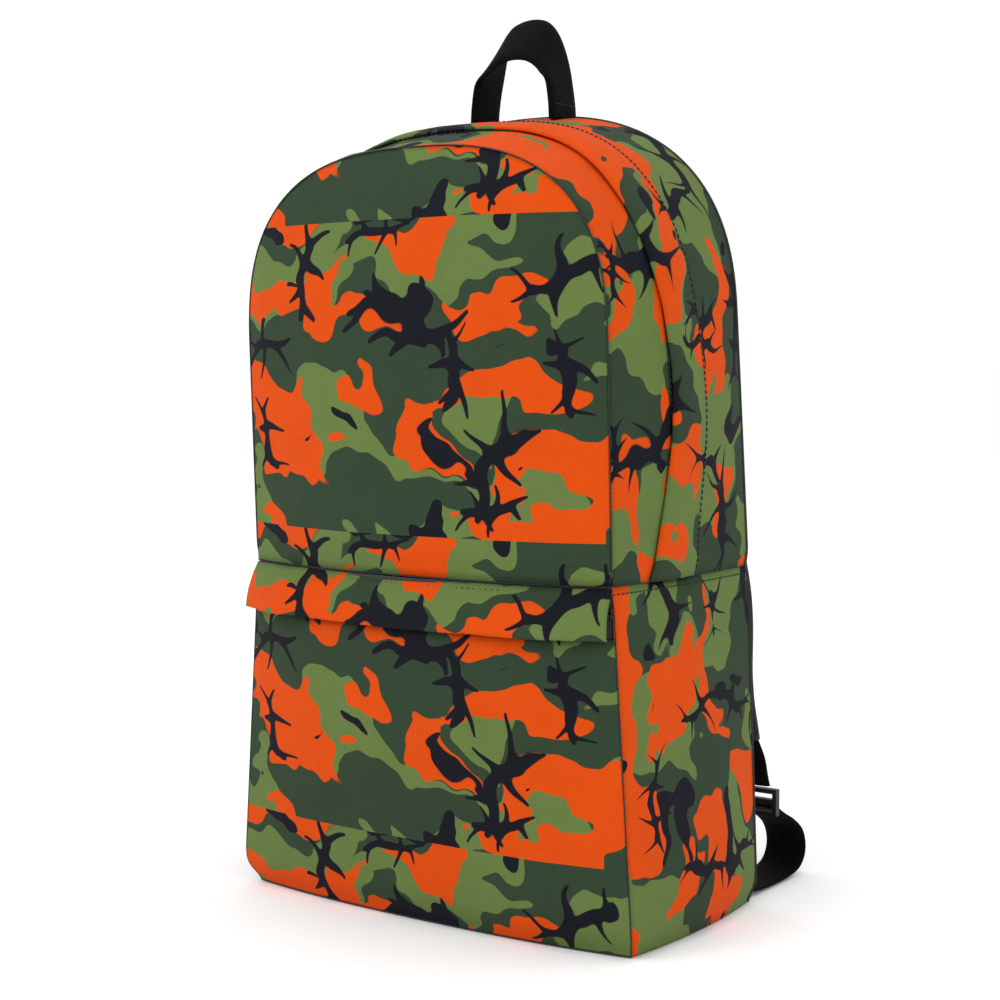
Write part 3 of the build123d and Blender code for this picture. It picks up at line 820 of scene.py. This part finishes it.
# Base: a flat panel whose rim turns up to meet the walls.
base_rows = np.linspace(0, 1, 24)
front_edge, back_edge = lower_front([1.2])[0], at(COLUMNS * (BASE_HALF - 5.6), BACK_Y - 1.0, 1.2)
base_grid = mix(front_edge[None], back_edge[None], base_rows[:, None, None])
rim = 128 * np.minimum(np.minimum(base_rows, 1 - base_rows)[:, None], (1 - np.abs(COLUMNS))[None, :])
base_grid[..., 2] = 0.15 + 1.0 * bell(rim, 0, 2.5)
cloth("base_cloth", base_grid, base_grid[..., :2], 1.0, PRINT_LOWER_SIDE, (0, 0, 60),
      ("pack", "camo_cloth", "bottom_panel"))


# ---- seams and stitching on the shell; the seam cords are thread and painted shade in the seam gaps ---
# Seam cord: a dark tube along a seam, partly the seam's thread and partly painted shade in the gap between
# the panels.
def seam(name, points, body="pack", radius=0.4):
    return tube_piece(name, resample(points, 2.5), radius, THREAD_AND_SEAM_SHADE, body)


PIPED = 0.9  # radius of the thicker seams round the back
fold_lid(seam("lid_front_seam", gusset_surface([0.0])[0] + [0, -0.3, 0], "lid"))
seam("back_seam", gusset_surface([1.0])[0] + [0, 0.2, 0], radius=PIPED)
for side_name, sign in SIDES:
    front_edge, back_edge = (side_surface(sign, side_heights, [share])[:, 0] for share in (0.0, 1.0))
    seam(f"front_corner_seam_{side_name}", front_edge + [0, 0.1, 0])
    seam(f"back_corner_seam_{side_name}", back_edge + [0, 0.2, 0], radius=PIPED)
    seam(f"middle_seam_{side_name}", side_surface(sign, [MID_Z - 0.2], side_shares)[0])
seam("middle_seam_front", lower_front([MID_Z - 0.3])[0])
seam("base_seam_front", lower_front([1.0])[0])

stitches("middle_stitches_front", lower_front([MID_Z - 4.0], 0.9)[0], "pack", FACING_FRONT)
for side_name, sign in SIDES:
    row = side_surface(sign, [MID_Z - 4.0], side_shares, 0.3)[0]
    stitches(f"middle_stitches_{side_name}", row, "pack", (float(sign), 0.0, 0.0))
stitches("storm_flap_stitches", flap_grid[-1] + flap_normals[-1] * 0.1, "pack", flap_normals[-1],
         pitch=3.2, radius=0.42)

# ---- zippers -----------------------------------------------------------------------------------------
# One hook of a coil: rings as the reach over the tape, half width and height, and the outline of a ring.
HOOK_RINGS = ((0.25, 0.30, 0.5), (0.6, 0.55, 0.85), (1.9, 0.5, 0.8), (2.6, 0.35, 0.45))
HOOK_OUTLINE = ((1, 0.3), (0.3, 1), (-0.3, 1), (-1, 0.3), (-1, -0.5), (1, -0.5))
HOOK_PITCH = 1.5


def coil(name, path, across, out, side, body, node):
    """Half a coil zipper: hooks laid side by side, each a small rounded bar lying across the tape."""
    across, out = np.broadcast_to(across, path.shape), np.broadcast_to(out, path.shape)
    verts, faces = [], []
    for row in resample(np.concatenate([path, across, out], axis=1), HOOK_PITCH):
        centre, cross, up = row[:3], unit(row[3:6]) * side, unit(row[6:9])
        along = np.cross(cross, up)
        faces += ring_faces(len(HOOK_RINGS), len(HOOK_OUTLINE), len(verts), flip=True)
        for reach, wide, tall in HOOK_RINGS:
            middle = centre + cross * reach
            verts += [middle + along * wide * c + up * tall * d for c, d in HOOK_OUTLINE]
    return place_piece(mesh(name, verts, faces, COIL), body, "zip_coil", node)


def flat_band(name, grid, material, thick, place, inside=(0, 0, 200)):
    """A tape or binding; it isn't declared as a sheet."""
    uv = at(run_length(grid[0])[None, :], grid[..., 1])
    return cloth(name, grid, uv, thick, material, inside, place, held=None)


def zip_tape(name, grid, body, node):
    return flat_band(name, grid, ZIP_TAPE, 0.6, (body, "zip_tape", node))


chain_line = gusset_surface([CHAIN_T], -1.9)[0]
chain_across = gusset_surface([CHAIN_T + 0.02], -1.9)[0] - chain_line
chain_out = gusset_surface([CHAIN_T], 2.0)[0] - chain_line
for half, side, body, ts in (("front", -1, "lid", (0.34, CHAIN_T - 0.012)),
                             ("rear", 1, "pack", (CHAIN_T + 0.012, 0.56))):
    coil(f"main_coil_{half}", chain_line, chain_across, chain_out, side, body, f"zip_chain_{half}")
    zip_tape(f"main_tape_{half}", gusset_surface(np.linspace(*ts, 4), -2.4), body, f"zip_tape_{half}")
stitches("main_tape_stitches", gusset_surface([0.345], 0.3)[0], "lid", chain_out, pitch=3.2, radius=0.26)

belt_angles = np.linspace(-1, 1, 90) * math.asin((FRONT_HALF - 0.6) / BELT_R)
belt_out = at(np.sin(belt_angles), -np.cos(belt_angles), 0.0)
back_path = at(np.linspace(-BACK_ZIP_HALF, BACK_ZIP_HALF, 40), 62.5, BACK_ZIP_Z)


def belt_line(radius, height):
    return at(radius * np.sin(belt_angles), BELT_Y - radius * np.cos(belt_angles), height)


for half, side, heights in (("lower", -1, (157.0, 170.6)), ("upper", 1, (173.4, 184.0))):
    coil(f"pocket_coil_{half}", belt_line(BELT_R, POCKET_ZIP_Z), (0.0, 0.0, 1.0), belt_out, side,
         "pack", f"pocket_zip_chain_{half}")
    grid = np.stack([belt_line(BELT_R - 0.2, z) for z in np.linspace(*heights, 4)])
    zip_tape(f"pocket_tape_{half}", grid, "pack", f"pocket_zip_tape_{half}")
for half, side in (("lower", -1), ("upper", 1)):
    coil(f"back_coil_{half}", back_path, (0.0, 0.0, 1.0), (0.0, 1.0, 0.0), side, "pack", "back_zip_chain")
    grid = np.stack([back_path + [0, 0.2, side * reach] for reach in (1.0, 3.0, 5.0, 8.5)])
    zip_tape(f"back_tape_{half}", grid, "pack", "back_zip_tapes")


# ---- linings -----------------------------------------------------------------------------------------
LINING_GAP = 3.2  # how far the lining lies inside the gusset


def lining_piece(name, grid, body, node, seed, wrinkle=0.9, inside=(0, 0, 200)):
    grid = crumple(grid, normals_of(grid, inside), wrinkle, 26.0, seed, seam_fade(grid))
    return cloth(name, grid, across_up(grid), 0.6, LINING, inside, (body, "lining", node))


inner_lid = lid_surface()
inner_lid[..., 0] *= 0.978
inner_lid[..., 1] += 2.8
inner_lid[..., 2] = MID_Z + 2 + (inner_lid[..., 2] - MID_Z - 0.2) * 0.975
fold_lid(lining_piece("lid_lining_cloth", inner_lid, "lid", "lid_lining", 7.0))
fold_lid(lining_piece("lid_gusset_lining_cloth", gusset_surface(np.linspace(0.03, 0.34, 10), -LINING_GAP),
                      "lid", "lid_gusset_lining", 8.0, 0.5))
lining_piece("rear_gusset_lining_cloth", gusset_surface(np.linspace(0.57, 0.86, 10), -LINING_GAP),
             "pack", "rear_gusset_lining", 9.0, 0.5)
walls = []
for z in np.linspace(3.5, MID_Z - 2.5, 24):
    turn = floor_turn(z)
    front, back = (half_width(z, share) - 3.4 - 0.7 * turn for share in (0, 1))
    corners = [(-back, 45.4), (-front, turn - 58.6), (front, turn - 58.6), (back, 45.4)]
    plan = resample(corners, 9.0)
    plan = evenly(plan, np.linspace(0, 1, len(plan)), 60)
    walls.append(at(plan[:, 0], plan[:, 1], z))
lining_piece("lower_lining_walls", np.stack(walls), "pack", "lower_lining", 13.0, inside=SIDE_INSIDE)
floor_grid = at(np.linspace(-118, 118, 40)[None, :], np.linspace(-51, 45, 18)[:, None], 3.4)
lining_piece("lower_lining_floor", floor_grid, "pack", "lower_lining", 14.0, 0.5, (0, 0, -90))
wall_z = np.linspace(3.2, MID_Z - 2.2, 24)[:, None]
wall_reach = half_width(wall_z, 0) - 3.0 - 0.7 * floor_turn(wall_z)
wall_bow = mix(3.0, 5.4, wall_z / MID_Z) * (1 - COLUMNS**2)
wall_grid = at(COLUMNS * wall_reach, floor_turn(wall_z) - 61.2 - wall_bow, wall_z)
lining_piece("pocket_wall_cloth", wall_grid, "pack", "pocket_back_wall", 17.0, inside=FRONT_INSIDE)

bindings = []
for name, body, ts in (("lid", "lid", (0.012, 0.05)), ("back", "pack", (0.885, 0.93))):
    grid = gusset_surface(np.linspace(*ts, 4), [-2.2, -3.6, -3.6, -2.2])
    place = (body, "binding_tape", f"{name}_seam_binding")
    bindings.append(flat_band(f"{name}_binding_tape", grid, BINDING, 1.0, place))
fold_lid(bindings[0])

# ---- the padded back ---------------------------------------------------------------------------------
EDGE_COLUMNS = 9
SLOT_HEIGHTS = (116.0, BACK_ZIP_Z, 128.0)  # the opening in the back for its pocket's zipper
CHANNEL_X, CHANNEL_LOW, CHANNEL_HIGH = 42.0, 132.0, 378.0

back_heights = [*np.arange(2.5, 116.0, 9.0), *SLOT_HEIGHTS, *np.arange(137.0, BACK_SPRING_Z, 9.0)]
BACK_ROWS = [(z, half_width(z, 1) - 0.7 * floor_turn(z) if z < MID_Z else BACK_HALF) for z in back_heights]
for angle in np.linspace(0, math.pi / 2 - 0.03, 26):
    z = BACK_SPRING_Z + (BACK_TOP_Z - BACK_SPRING_Z) * math.sin(angle) ** (2 / BACK_SQUARE)
    BACK_ROWS.append((z, BACK_HALF * math.cos(angle) ** (2 / BACK_SQUARE)))


def back_grid(offset, inset):
    """Points over the back: offset is how far behind its line, inset how far inside its edge."""
    grid = []
    for z, half in BACK_ROWS:
        half = max(half - inset, 8.0)
        core = min(BACK_ZIP_HALF, half * 0.6)
        edge = core + (half - core) * np.linspace(0, 1, EDGE_COLUMNS) ** 0.9
        x = np.concatenate([-edge[::-1], np.linspace(-core, core, 17)[1:-1], edge])
        grid.append(at(x, back_line(z) + offset, z - (inset if z > 400 else 0)))
    return np.array(grid)


mesh_grid = back_grid(-0.2, 0.6)
x, z = mesh_grid[..., 0], mesh_grid[..., 2]
puff = 2.6 * seam_fade(mesh_grid, 0.06)
between = smooth(CHANNEL_LOW, CHANNEL_LOW + 13, z) * (1 - smooth(CHANNEL_HIGH - 13, CHANNEL_HIGH, z))
for groove in (-CHANNEL_X, CHANNEL_X):
    puff -= 1.9 * bell(x, groove, 3.0) * between
for groove in (CHANNEL_LOW, CHANNEL_HIGH):
    puff -= 1.9 * bell(z, groove, 3.5)
puff *= 1 - np.exp(-(((z - BACK_ZIP_Z) / 8) ** 4)) * (np.abs(x) < BACK_ZIP_HALF + 6)
mesh_grid[..., 1] += puff
row_z, cell_columns = mesh_grid[:, 0, 2], np.arange(mesh_grid.shape[1] - 1)
slot_rows = (row_z[:-1] >= SLOT_HEIGHTS[0] - 0.5) & (row_z[1:] <= SLOT_HEIGHTS[-1] + 0.5)
slot_columns = (cell_columns >= EDGE_COLUMNS - 1) & (cell_columns < mesh_grid.shape[1] - EDGE_COLUMNS)
keep = ~(slot_rows[:, None] & slot_columns[None, :])
cloth("back_mesh_cloth", mesh_grid, across_up(mesh_grid), 1.2, AIR_MESH, (0, 0, 200),
      ("pack", "air_mesh", "back_mesh"), keep)
foam_grid = back_grid(-2.2, 4.6)
foam = cloth("back_foam_sheet", foam_grid, across_up(foam_grid), 5.6, FOAM, (0, 0, 200),
             ("pack", "foam", "back_foam"), keep, held=None)
lining_piece("back_lining_cloth", back_grid(-17.6, 6.4), "pack", "back_lining", 19.0, 0.6, (0, 200, 200))

groove_rows = np.linspace(140, 370, 40)
for k, groove in enumerate((-CHANNEL_X, CHANNEL_X)):
    line = at(groove, back_line(groove_rows) + 0.6, groove_rows)
    stitches(f"back_channel_stitches_{k}", line, "pack", FACING_BACK)


def closed_pad(name, grid_out, grid_in, material, place, inner_material=None):
    """A pad closed all round from two grids that share their outlines."""
    rows, cols = grid_out.shape[:2]
    low = rows * cols
    index = np.arange(low).reshape(rows, cols)
    corners = index[:-1, :-1].ravel()
    outer = [(a, a + 1, a + cols + 1, a + cols) for a in corners]
    inner = [(a + low, a + cols + low, a + cols + 1 + low, a + 1 + low) for a in corners]
    rim = [*index[0], *index[1:, -1], *index[-1, -2::-1], *index[-2:0:-1, 0]]
    sides = [(b, a, a + low, b + low) for a, b in zip(rim, rim[1:] + rim[:1])]
    points = np.concatenate([grid_out.reshape(-1, 3), grid_in.reshape(-1, 3)])
    uv = np.concatenate([grid_out.reshape(-1, 3)[:, [0, 2]]] * 2)
    obj = mesh(name, points, outer + inner + sides, material, uv)
    if inner_material is not None:
        obj.data.materials.append(inner_material)
        for polygon in obj.data.polygons[len(outer):2 * len(outer)]:
            polygon.material_index = 1
    return place_piece(rebuild(obj, face_outwards), *place)


def pillow(grid, thick, direction, power=2.6, rim=1.0):
    """Two grids for a pad: one crowned by thick along direction, and the given one."""
    i, j = (np.abs(np.linspace(-1, 1, count)) for count in grid.shape[:2])
    crown = ((1 - i**8)[:, None] * (1 - j**power)[None, :]) ** 0.5
    return grid + (rim + (thick - rim) * crown)[..., None] * np.asarray(direction, float), grid


sleeve_rows = []
for z in np.linspace(8, 276, 40):
    half = (half_width(z, 1) if z < MID_Z else BACK_HALF) - 7.0 - 0.4 * floor_turn(z)
    sleeve_rows.append(at(np.linspace(-half, half, 40), 27.0 - max(z - MID_Z, 0) * BACK_LEAN, z))
crowned, flat = pillow(np.array(sleeve_rows), 6.5, (0, -1, 0), power=6, rim=4.0)
sleeve = closed_pad("laptop_sleeve_pad", crowned, flat, SLEEVE_CLOTH,
                    ("pack", "sleeve_cloth", "laptop_sleeve"))
rim_line = sleeve_rows[-1] + [0, -2.6, 0]
binding_rows = []
for angle in np.linspace(-0.15, 1.15, 9) * math.pi:
    binding_rows.append(rim_line + [0, 3.6 * math.cos(angle), -1.0 + 7.0 * max(math.sin(angle), -0.3)])
flat_band("sleeve_top_binding", np.stack(binding_rows), BINDING, 0.8,
          ("pack", "binding_tape", "sleeve_binding"), (0, 12, 270))

bag_z, bag_cells = np.linspace(46, 149, 16), np.arange(29)
bag_grid = at(np.linspace(-89, 89, 30)[None, :], 48.2, bag_z[:, None])
lining_piece("back_pocket_inner", bag_grid, "pack", "back_pocket_bag", 23.0, 0.6, (0, 80, 100))
bag_slot = ((bag_z[:-1] > 112) & (bag_z[1:] < 133))[:, None] & ((bag_cells > 2) & (bag_cells < 26))[None, :]
bag_outer = bag_grid + [0, 7.0, 0]
cloth("back_pocket_outer", bag_outer, across_up(bag_outer), 0.6, LINING, (0, 0, 100),
      ("pack", "lining", "back_pocket_bag"), ~bag_slot)


# ---- webbing and straps ------------------------------------------------------------------------------
def spline(points, count):
    """A smooth curve through points, by cubic pieces, as count evenly spaced rows."""
    p = np.asarray(points, float)
    p = np.concatenate([[2 * p[0] - p[1]], p, [2 * p[-1] - p[-2]]])
    s = np.linspace(0, 1, 12, endpoint=False)[:, None]
    pieces = []
    for a, b, c, d in zip(p, p[1:], p[2:], p[3:]):
        bend = (2 * a - 5 * b + 4 * c - d) * s**2 + (3 * b - a - 3 * c + d) * s**3
        pieces.append(0.5 * (2 * b + (c - a) * s + bend))
    dense = np.concatenate(pieces + [p[-2:-1]])
    return evenly(dense, run_length(dense[:, :3]), count)


def band(name, path, across, width, thick, body, node):
    """A strip of webbing with rounded selvedges: path of centres, and the direction across at each."""
    across = unit(np.broadcast_to(np.asarray(across, float), path.shape))
    up = unit(np.cross(unit(np.gradient(path, axis=0)), across))
    width = np.broadcast_to(width, (len(path),))
    profile = [(s, 0.5 * (1 - abs(s) ** 8) + 0.14) for s in np.linspace(-1, 1, 13)]
    ring = profile + [(s, -h) for s, h in profile[::-1]]
    verts, uv = [], []
    for i, run in enumerate(run_length(path)):
        for s, h in ring:
            verts.append(path[i] + across[i] * s * width[i] / 2 + up[i] * h * thick)
            uv.append((run, s * width[i] / 2))
    faces = ring_faces(len(path), len(ring))
    return place_piece(mesh(name, verts, faces, WEBBING, uv), body, "webbing", node)


# Grab handle: the loop's sides stand on edge and its top turns its face forward.
LOOP_SIDE = [(26.0, 424.5), (25.4, 434), (23.4, 446), (19.8, 456), (15.5, 463.5), (9, 468.5)]
loop_xz = spline([(-x, z) for x, z in LOOP_SIDE] + [(0, 470.0)] + LOOP_SIDE[::-1], 80)
turned = smooth(442, 468, loop_xz[:, 1])
tilt = math.radians(52) * turned
loop = at(loop_xz[:, 0], 26.5, loop_xz[:, 1])
handle = band("grab_handle_webbing", loop, at(0.0, np.cos(tilt), np.sin(tilt)), mix(25.5, 30.0, turned), 3.4,
              "grab_handle", "grab_handle")
handle.parent = None
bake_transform(handle)
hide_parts("handle_anchors")
for side_name, sign in SIDES[::-1]:
    rows = [(sign * 27.6, y, 432.6) for y in (17, 22, 27, 32, 36)]
    stitches(f"handle_stitches_{side_name}", rows, "pack", (float(sign), 0.0, 0.1))

STRAP_X, WEB_WIDTH, WEB_THICK = 108.0, 25.0, 1.5
PAD_STEPS, PAD_RIM = 90, 1.6
# The pad going down: height, centre from the middle, width, place behind the back's line, and thickness.
PAD_SHAPE = [(398, 40, 60, 2.4, 5.0), (372, 41, 66, 3.2, 12.0), (300, 50, 66, 9.0, 13.0),
             (230, 68, 64, 12.0, 13.0), (170, 87, 56, 8.0, 11.0), (120, 101, 40, 1.8, 7.0),
             (88, 107, 28, 11.5, 4.5)]
pad_path = spline([(z, x, w, back_line(z) + y, thick) for z, x, w, y, thick in PAD_SHAPE], PAD_STEPS)
# The webbing's ends: behind the pad's foot to the ladder lock, and from the anchor tab up to it, as y and z.
WEB_END = [(87.5, 76.0), (91.5, 65.0), (94.0, 58.8)]
ADJUSTER = [(67.4, 5.0), (78, 2.6), (90, 1.6), (104, 1.3), (116, 1.6), (130, 3.6), (137.2, 9.0),
            (138.8, 17.0), (134.4, 26.0), (124.0, 33.5), (112.0, 39.5), (103.2, 44.6)]


def shoulder_pad(side_name, sign, body):
    """A strap's pad, cloth outside and air mesh inside, bound and stitched along both edges."""
    us = np.sin(np.linspace(-1, 1, 25) * math.pi / 2)
    edge = (1 - np.abs(us) ** 3.2) ** 0.6
    far, near = [], []
    for k, (z, centre, wide, y_in, thick) in enumerate(pad_path):
        end = smooth(0, 0.05, k / (PAD_STEPS - 1)) * smooth(1, 0.97, k / (PAD_STEPS - 1))
        x = sign * (centre + us * wide / 2)
        wave = 0.35 * np.sin(z / 9.0 + us * 2.0) * edge
        middle = y_in + thick * 0.42
        full = edge * end
        far.append(at(x, middle + PAD_RIM / 2 + (thick * 0.58 - PAD_RIM / 2) * full + wave * 0.6, z))
        near.append(at(x, middle - PAD_RIM / 2 - (thick * 0.42 - PAD_RIM / 2) * full, z))
    far, near = np.array(far), np.array(near)
    pad = closed_pad(f"shoulder_pad_{side_name}_cloth", far, near, STRAP_CLOTH,
                     (body, "strap_cloth", f"shoulder_pad_{side_name}"), AIR_MESH)
    for edge_name, rim, row in (("inner", 0, 2), ("outer", -1, -3)):
        line = (far[:, rim] + near[:, rim]) / 2
        tube_piece(f"pad_binding_{edge_name}_{side_name}", line, 1.7, BINDING, body, 8)
        stitches(f"pad_stitches_{edge_name}_{side_name}", far[4:-4, row], body, (0.0, 1.0, 0.05), lift=0.3)


def strap_webbing(side_name, sign, body):
    """Webbing sewn down the pad's lower half, on to the ladder lock."""
    start = int(np.argmin(np.abs(pad_path[:, 0] - 232)))
    web = [(sign * x, y + thick + 0.9 * min(1, k / 4), z)
           for k, (z, x, _, y, thick) in enumerate(pad_path[start:])]
    web = spline(web[::6] + [(sign * STRAP_X, y, z) for y, z in WEB_END], 70)
    band(f"strap_webbing_{side_name}_band", web, (1, 0, 0), WEB_WIDTH, WEB_THICK, body,
         f"strap_webbing_{side_name}")
    for name, height in (("high", 224.0), ("mid", 205.0)):
        k = int(np.argmin(np.abs(web[:, 2] - height)))
        row = web[k] + at(np.linspace(-11, 11, 8), 0.9, np.linspace(-3, 3, 8))
        stitches(f"webbing_tack_{name}_{side_name}", row, body, FACING_BACK)


def adjuster(side_name, sign, body):
    """The webbing's free loop, as two pieces, the loop and its last stretch; both are taken off their bodies
    and stay where they are.
    """
    path = spline([(sign * STRAP_X, y, z + 0.6) for y, z in ADJUSTER], 80)
    turn = int(np.argmin(np.abs(path[40:, 1] - 124.0))) + 40
    lock = f"ladder_lock_{side_name}"
    for name, piece, bodies in (("loop", path[:turn + 1], ("pack", body)),
                                ("end", path[turn:], (body, lock))):
        obj = band(f"adjuster_{name}_{side_name}", piece, (1, 0, 0), WEB_WIDTH, WEB_THICK, bodies[0],
                   f"adjuster_webbing_{side_name}")
        obj.parent = None
        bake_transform(obj)


def anchor_tab(side_name, sign):
    """The three-cornered tab in the bottom corner that holds the webbing."""
    bow = np.sin(np.linspace(0, math.pi, 12))
    rows = []
    for s in np.linspace(0, 1, 14)[:-1]:
        x = sign * np.linspace(mix(92, 124, s), 124, 12)
        rows.append(at(x, 65.2 + 1.1 * bow * math.sin(math.pi * s), mix(2.6, 30, s)))
    grid = np.array(rows)
    cloth(f"anchor_tab_{side_name}_cloth", grid, at(grid[..., 0], grid[..., 2] + 40), 1.2, PRINT_LOWER_SIDE,
          (0, 0, 60), ("pack", "camo_cloth", f"anchor_tab_{side_name}"))


for side_name, sign in SIDES:
    shoulder_pad(side_name, sign, f"shoulder_strap_{side_name}")
    strap_webbing(side_name, sign, f"shoulder_strap_{side_name}")
    adjuster(side_name, sign, f"shoulder_strap_{side_name}")
    anchor_tab(side_name, sign)

yoke_rows = []
for z in np.linspace(380, 414, 14):
    half = 76 - 10 * smooth(404, 416, z)
    yoke_rows.append(at(np.linspace(-half, half, 50), back_line(z) + 1.0, z))
crowned, flat = pillow(np.array(yoke_rows), 3.4, (0, 1, 0), power=5, rim=0.8)
yoke = closed_pad("strap_yoke_cloth", crowned, flat, STRAP_CLOTH, ("pack", "strap_cloth", "strap_yoke"))
for k, z in enumerate((384.0, 410.0)):
    stitches(f"yoke_stitches_{k}", at(np.linspace(-70, 70, 30), back_line(z) + 3.6, z), "pack", FACING_BACK)

# ---- camera, floor and light -------------------------------------------------------------------------
camera_data = bpy.data.cameras.new("camera")
camera_data.lens = 68.8
camera = bpy.data.objects.new("camera", camera_data)
camera.location = (0.6072, -0.8461, 0.2941)
camera.rotation_euler = (math.radians(90 - 4.14), 0, math.radians(35.52))
bpy.context.scene.collection.objects.link(camera)
bpy.context.scene.camera = camera

floor_material = Nodes("studio_floor").finish((0.96, 0.96, 0.96, 1.0), 0.9, specular=0.0)
floor_points = [(-9e4, -9e4, 0), (9e4, -9e4, 0), (9e4, 9e4, 0), (-9e4, 9e4, 0)]
floor = mesh("floor", floor_points, [(0, 1, 2, 3)], floor_material, smooth_faces=False)

world = bpy.data.worlds.new("studio")
world.use_nodes = True
world.node_tree.nodes["Background"].inputs[0].default_value = (1, 1, 1, 1)
world.node_tree.nodes["Background"].inputs[1].default_value = 1.04
bpy.context.scene.world = world
bpy.context.scene.view_settings.view_transform = "Standard"


def area_light(name, place, target, size, power):
    data = bpy.data.lights.new(name, "AREA")
    data.size, data.energy = size, power
    obj = bpy.data.objects.new(name, data)
    obj.location = place
    direction = Vector(target) - Vector(place)
    obj.rotation_euler = direction.to_track_quat("-Z", "Y").to_euler()
    bpy.context.scene.collection.objects.link(obj)


area_light("key", (-0.9, -2.2, 1.9), (0, 0, 0.2), 1.2, 24)
area_light("fill", (2.4, -0.9, 1.2), (0, 0, 0.2), 1.4, 10)
area_light("top", (0.2, 0.3, 2.6), (0, 0, 0.2), 1.0, 8)
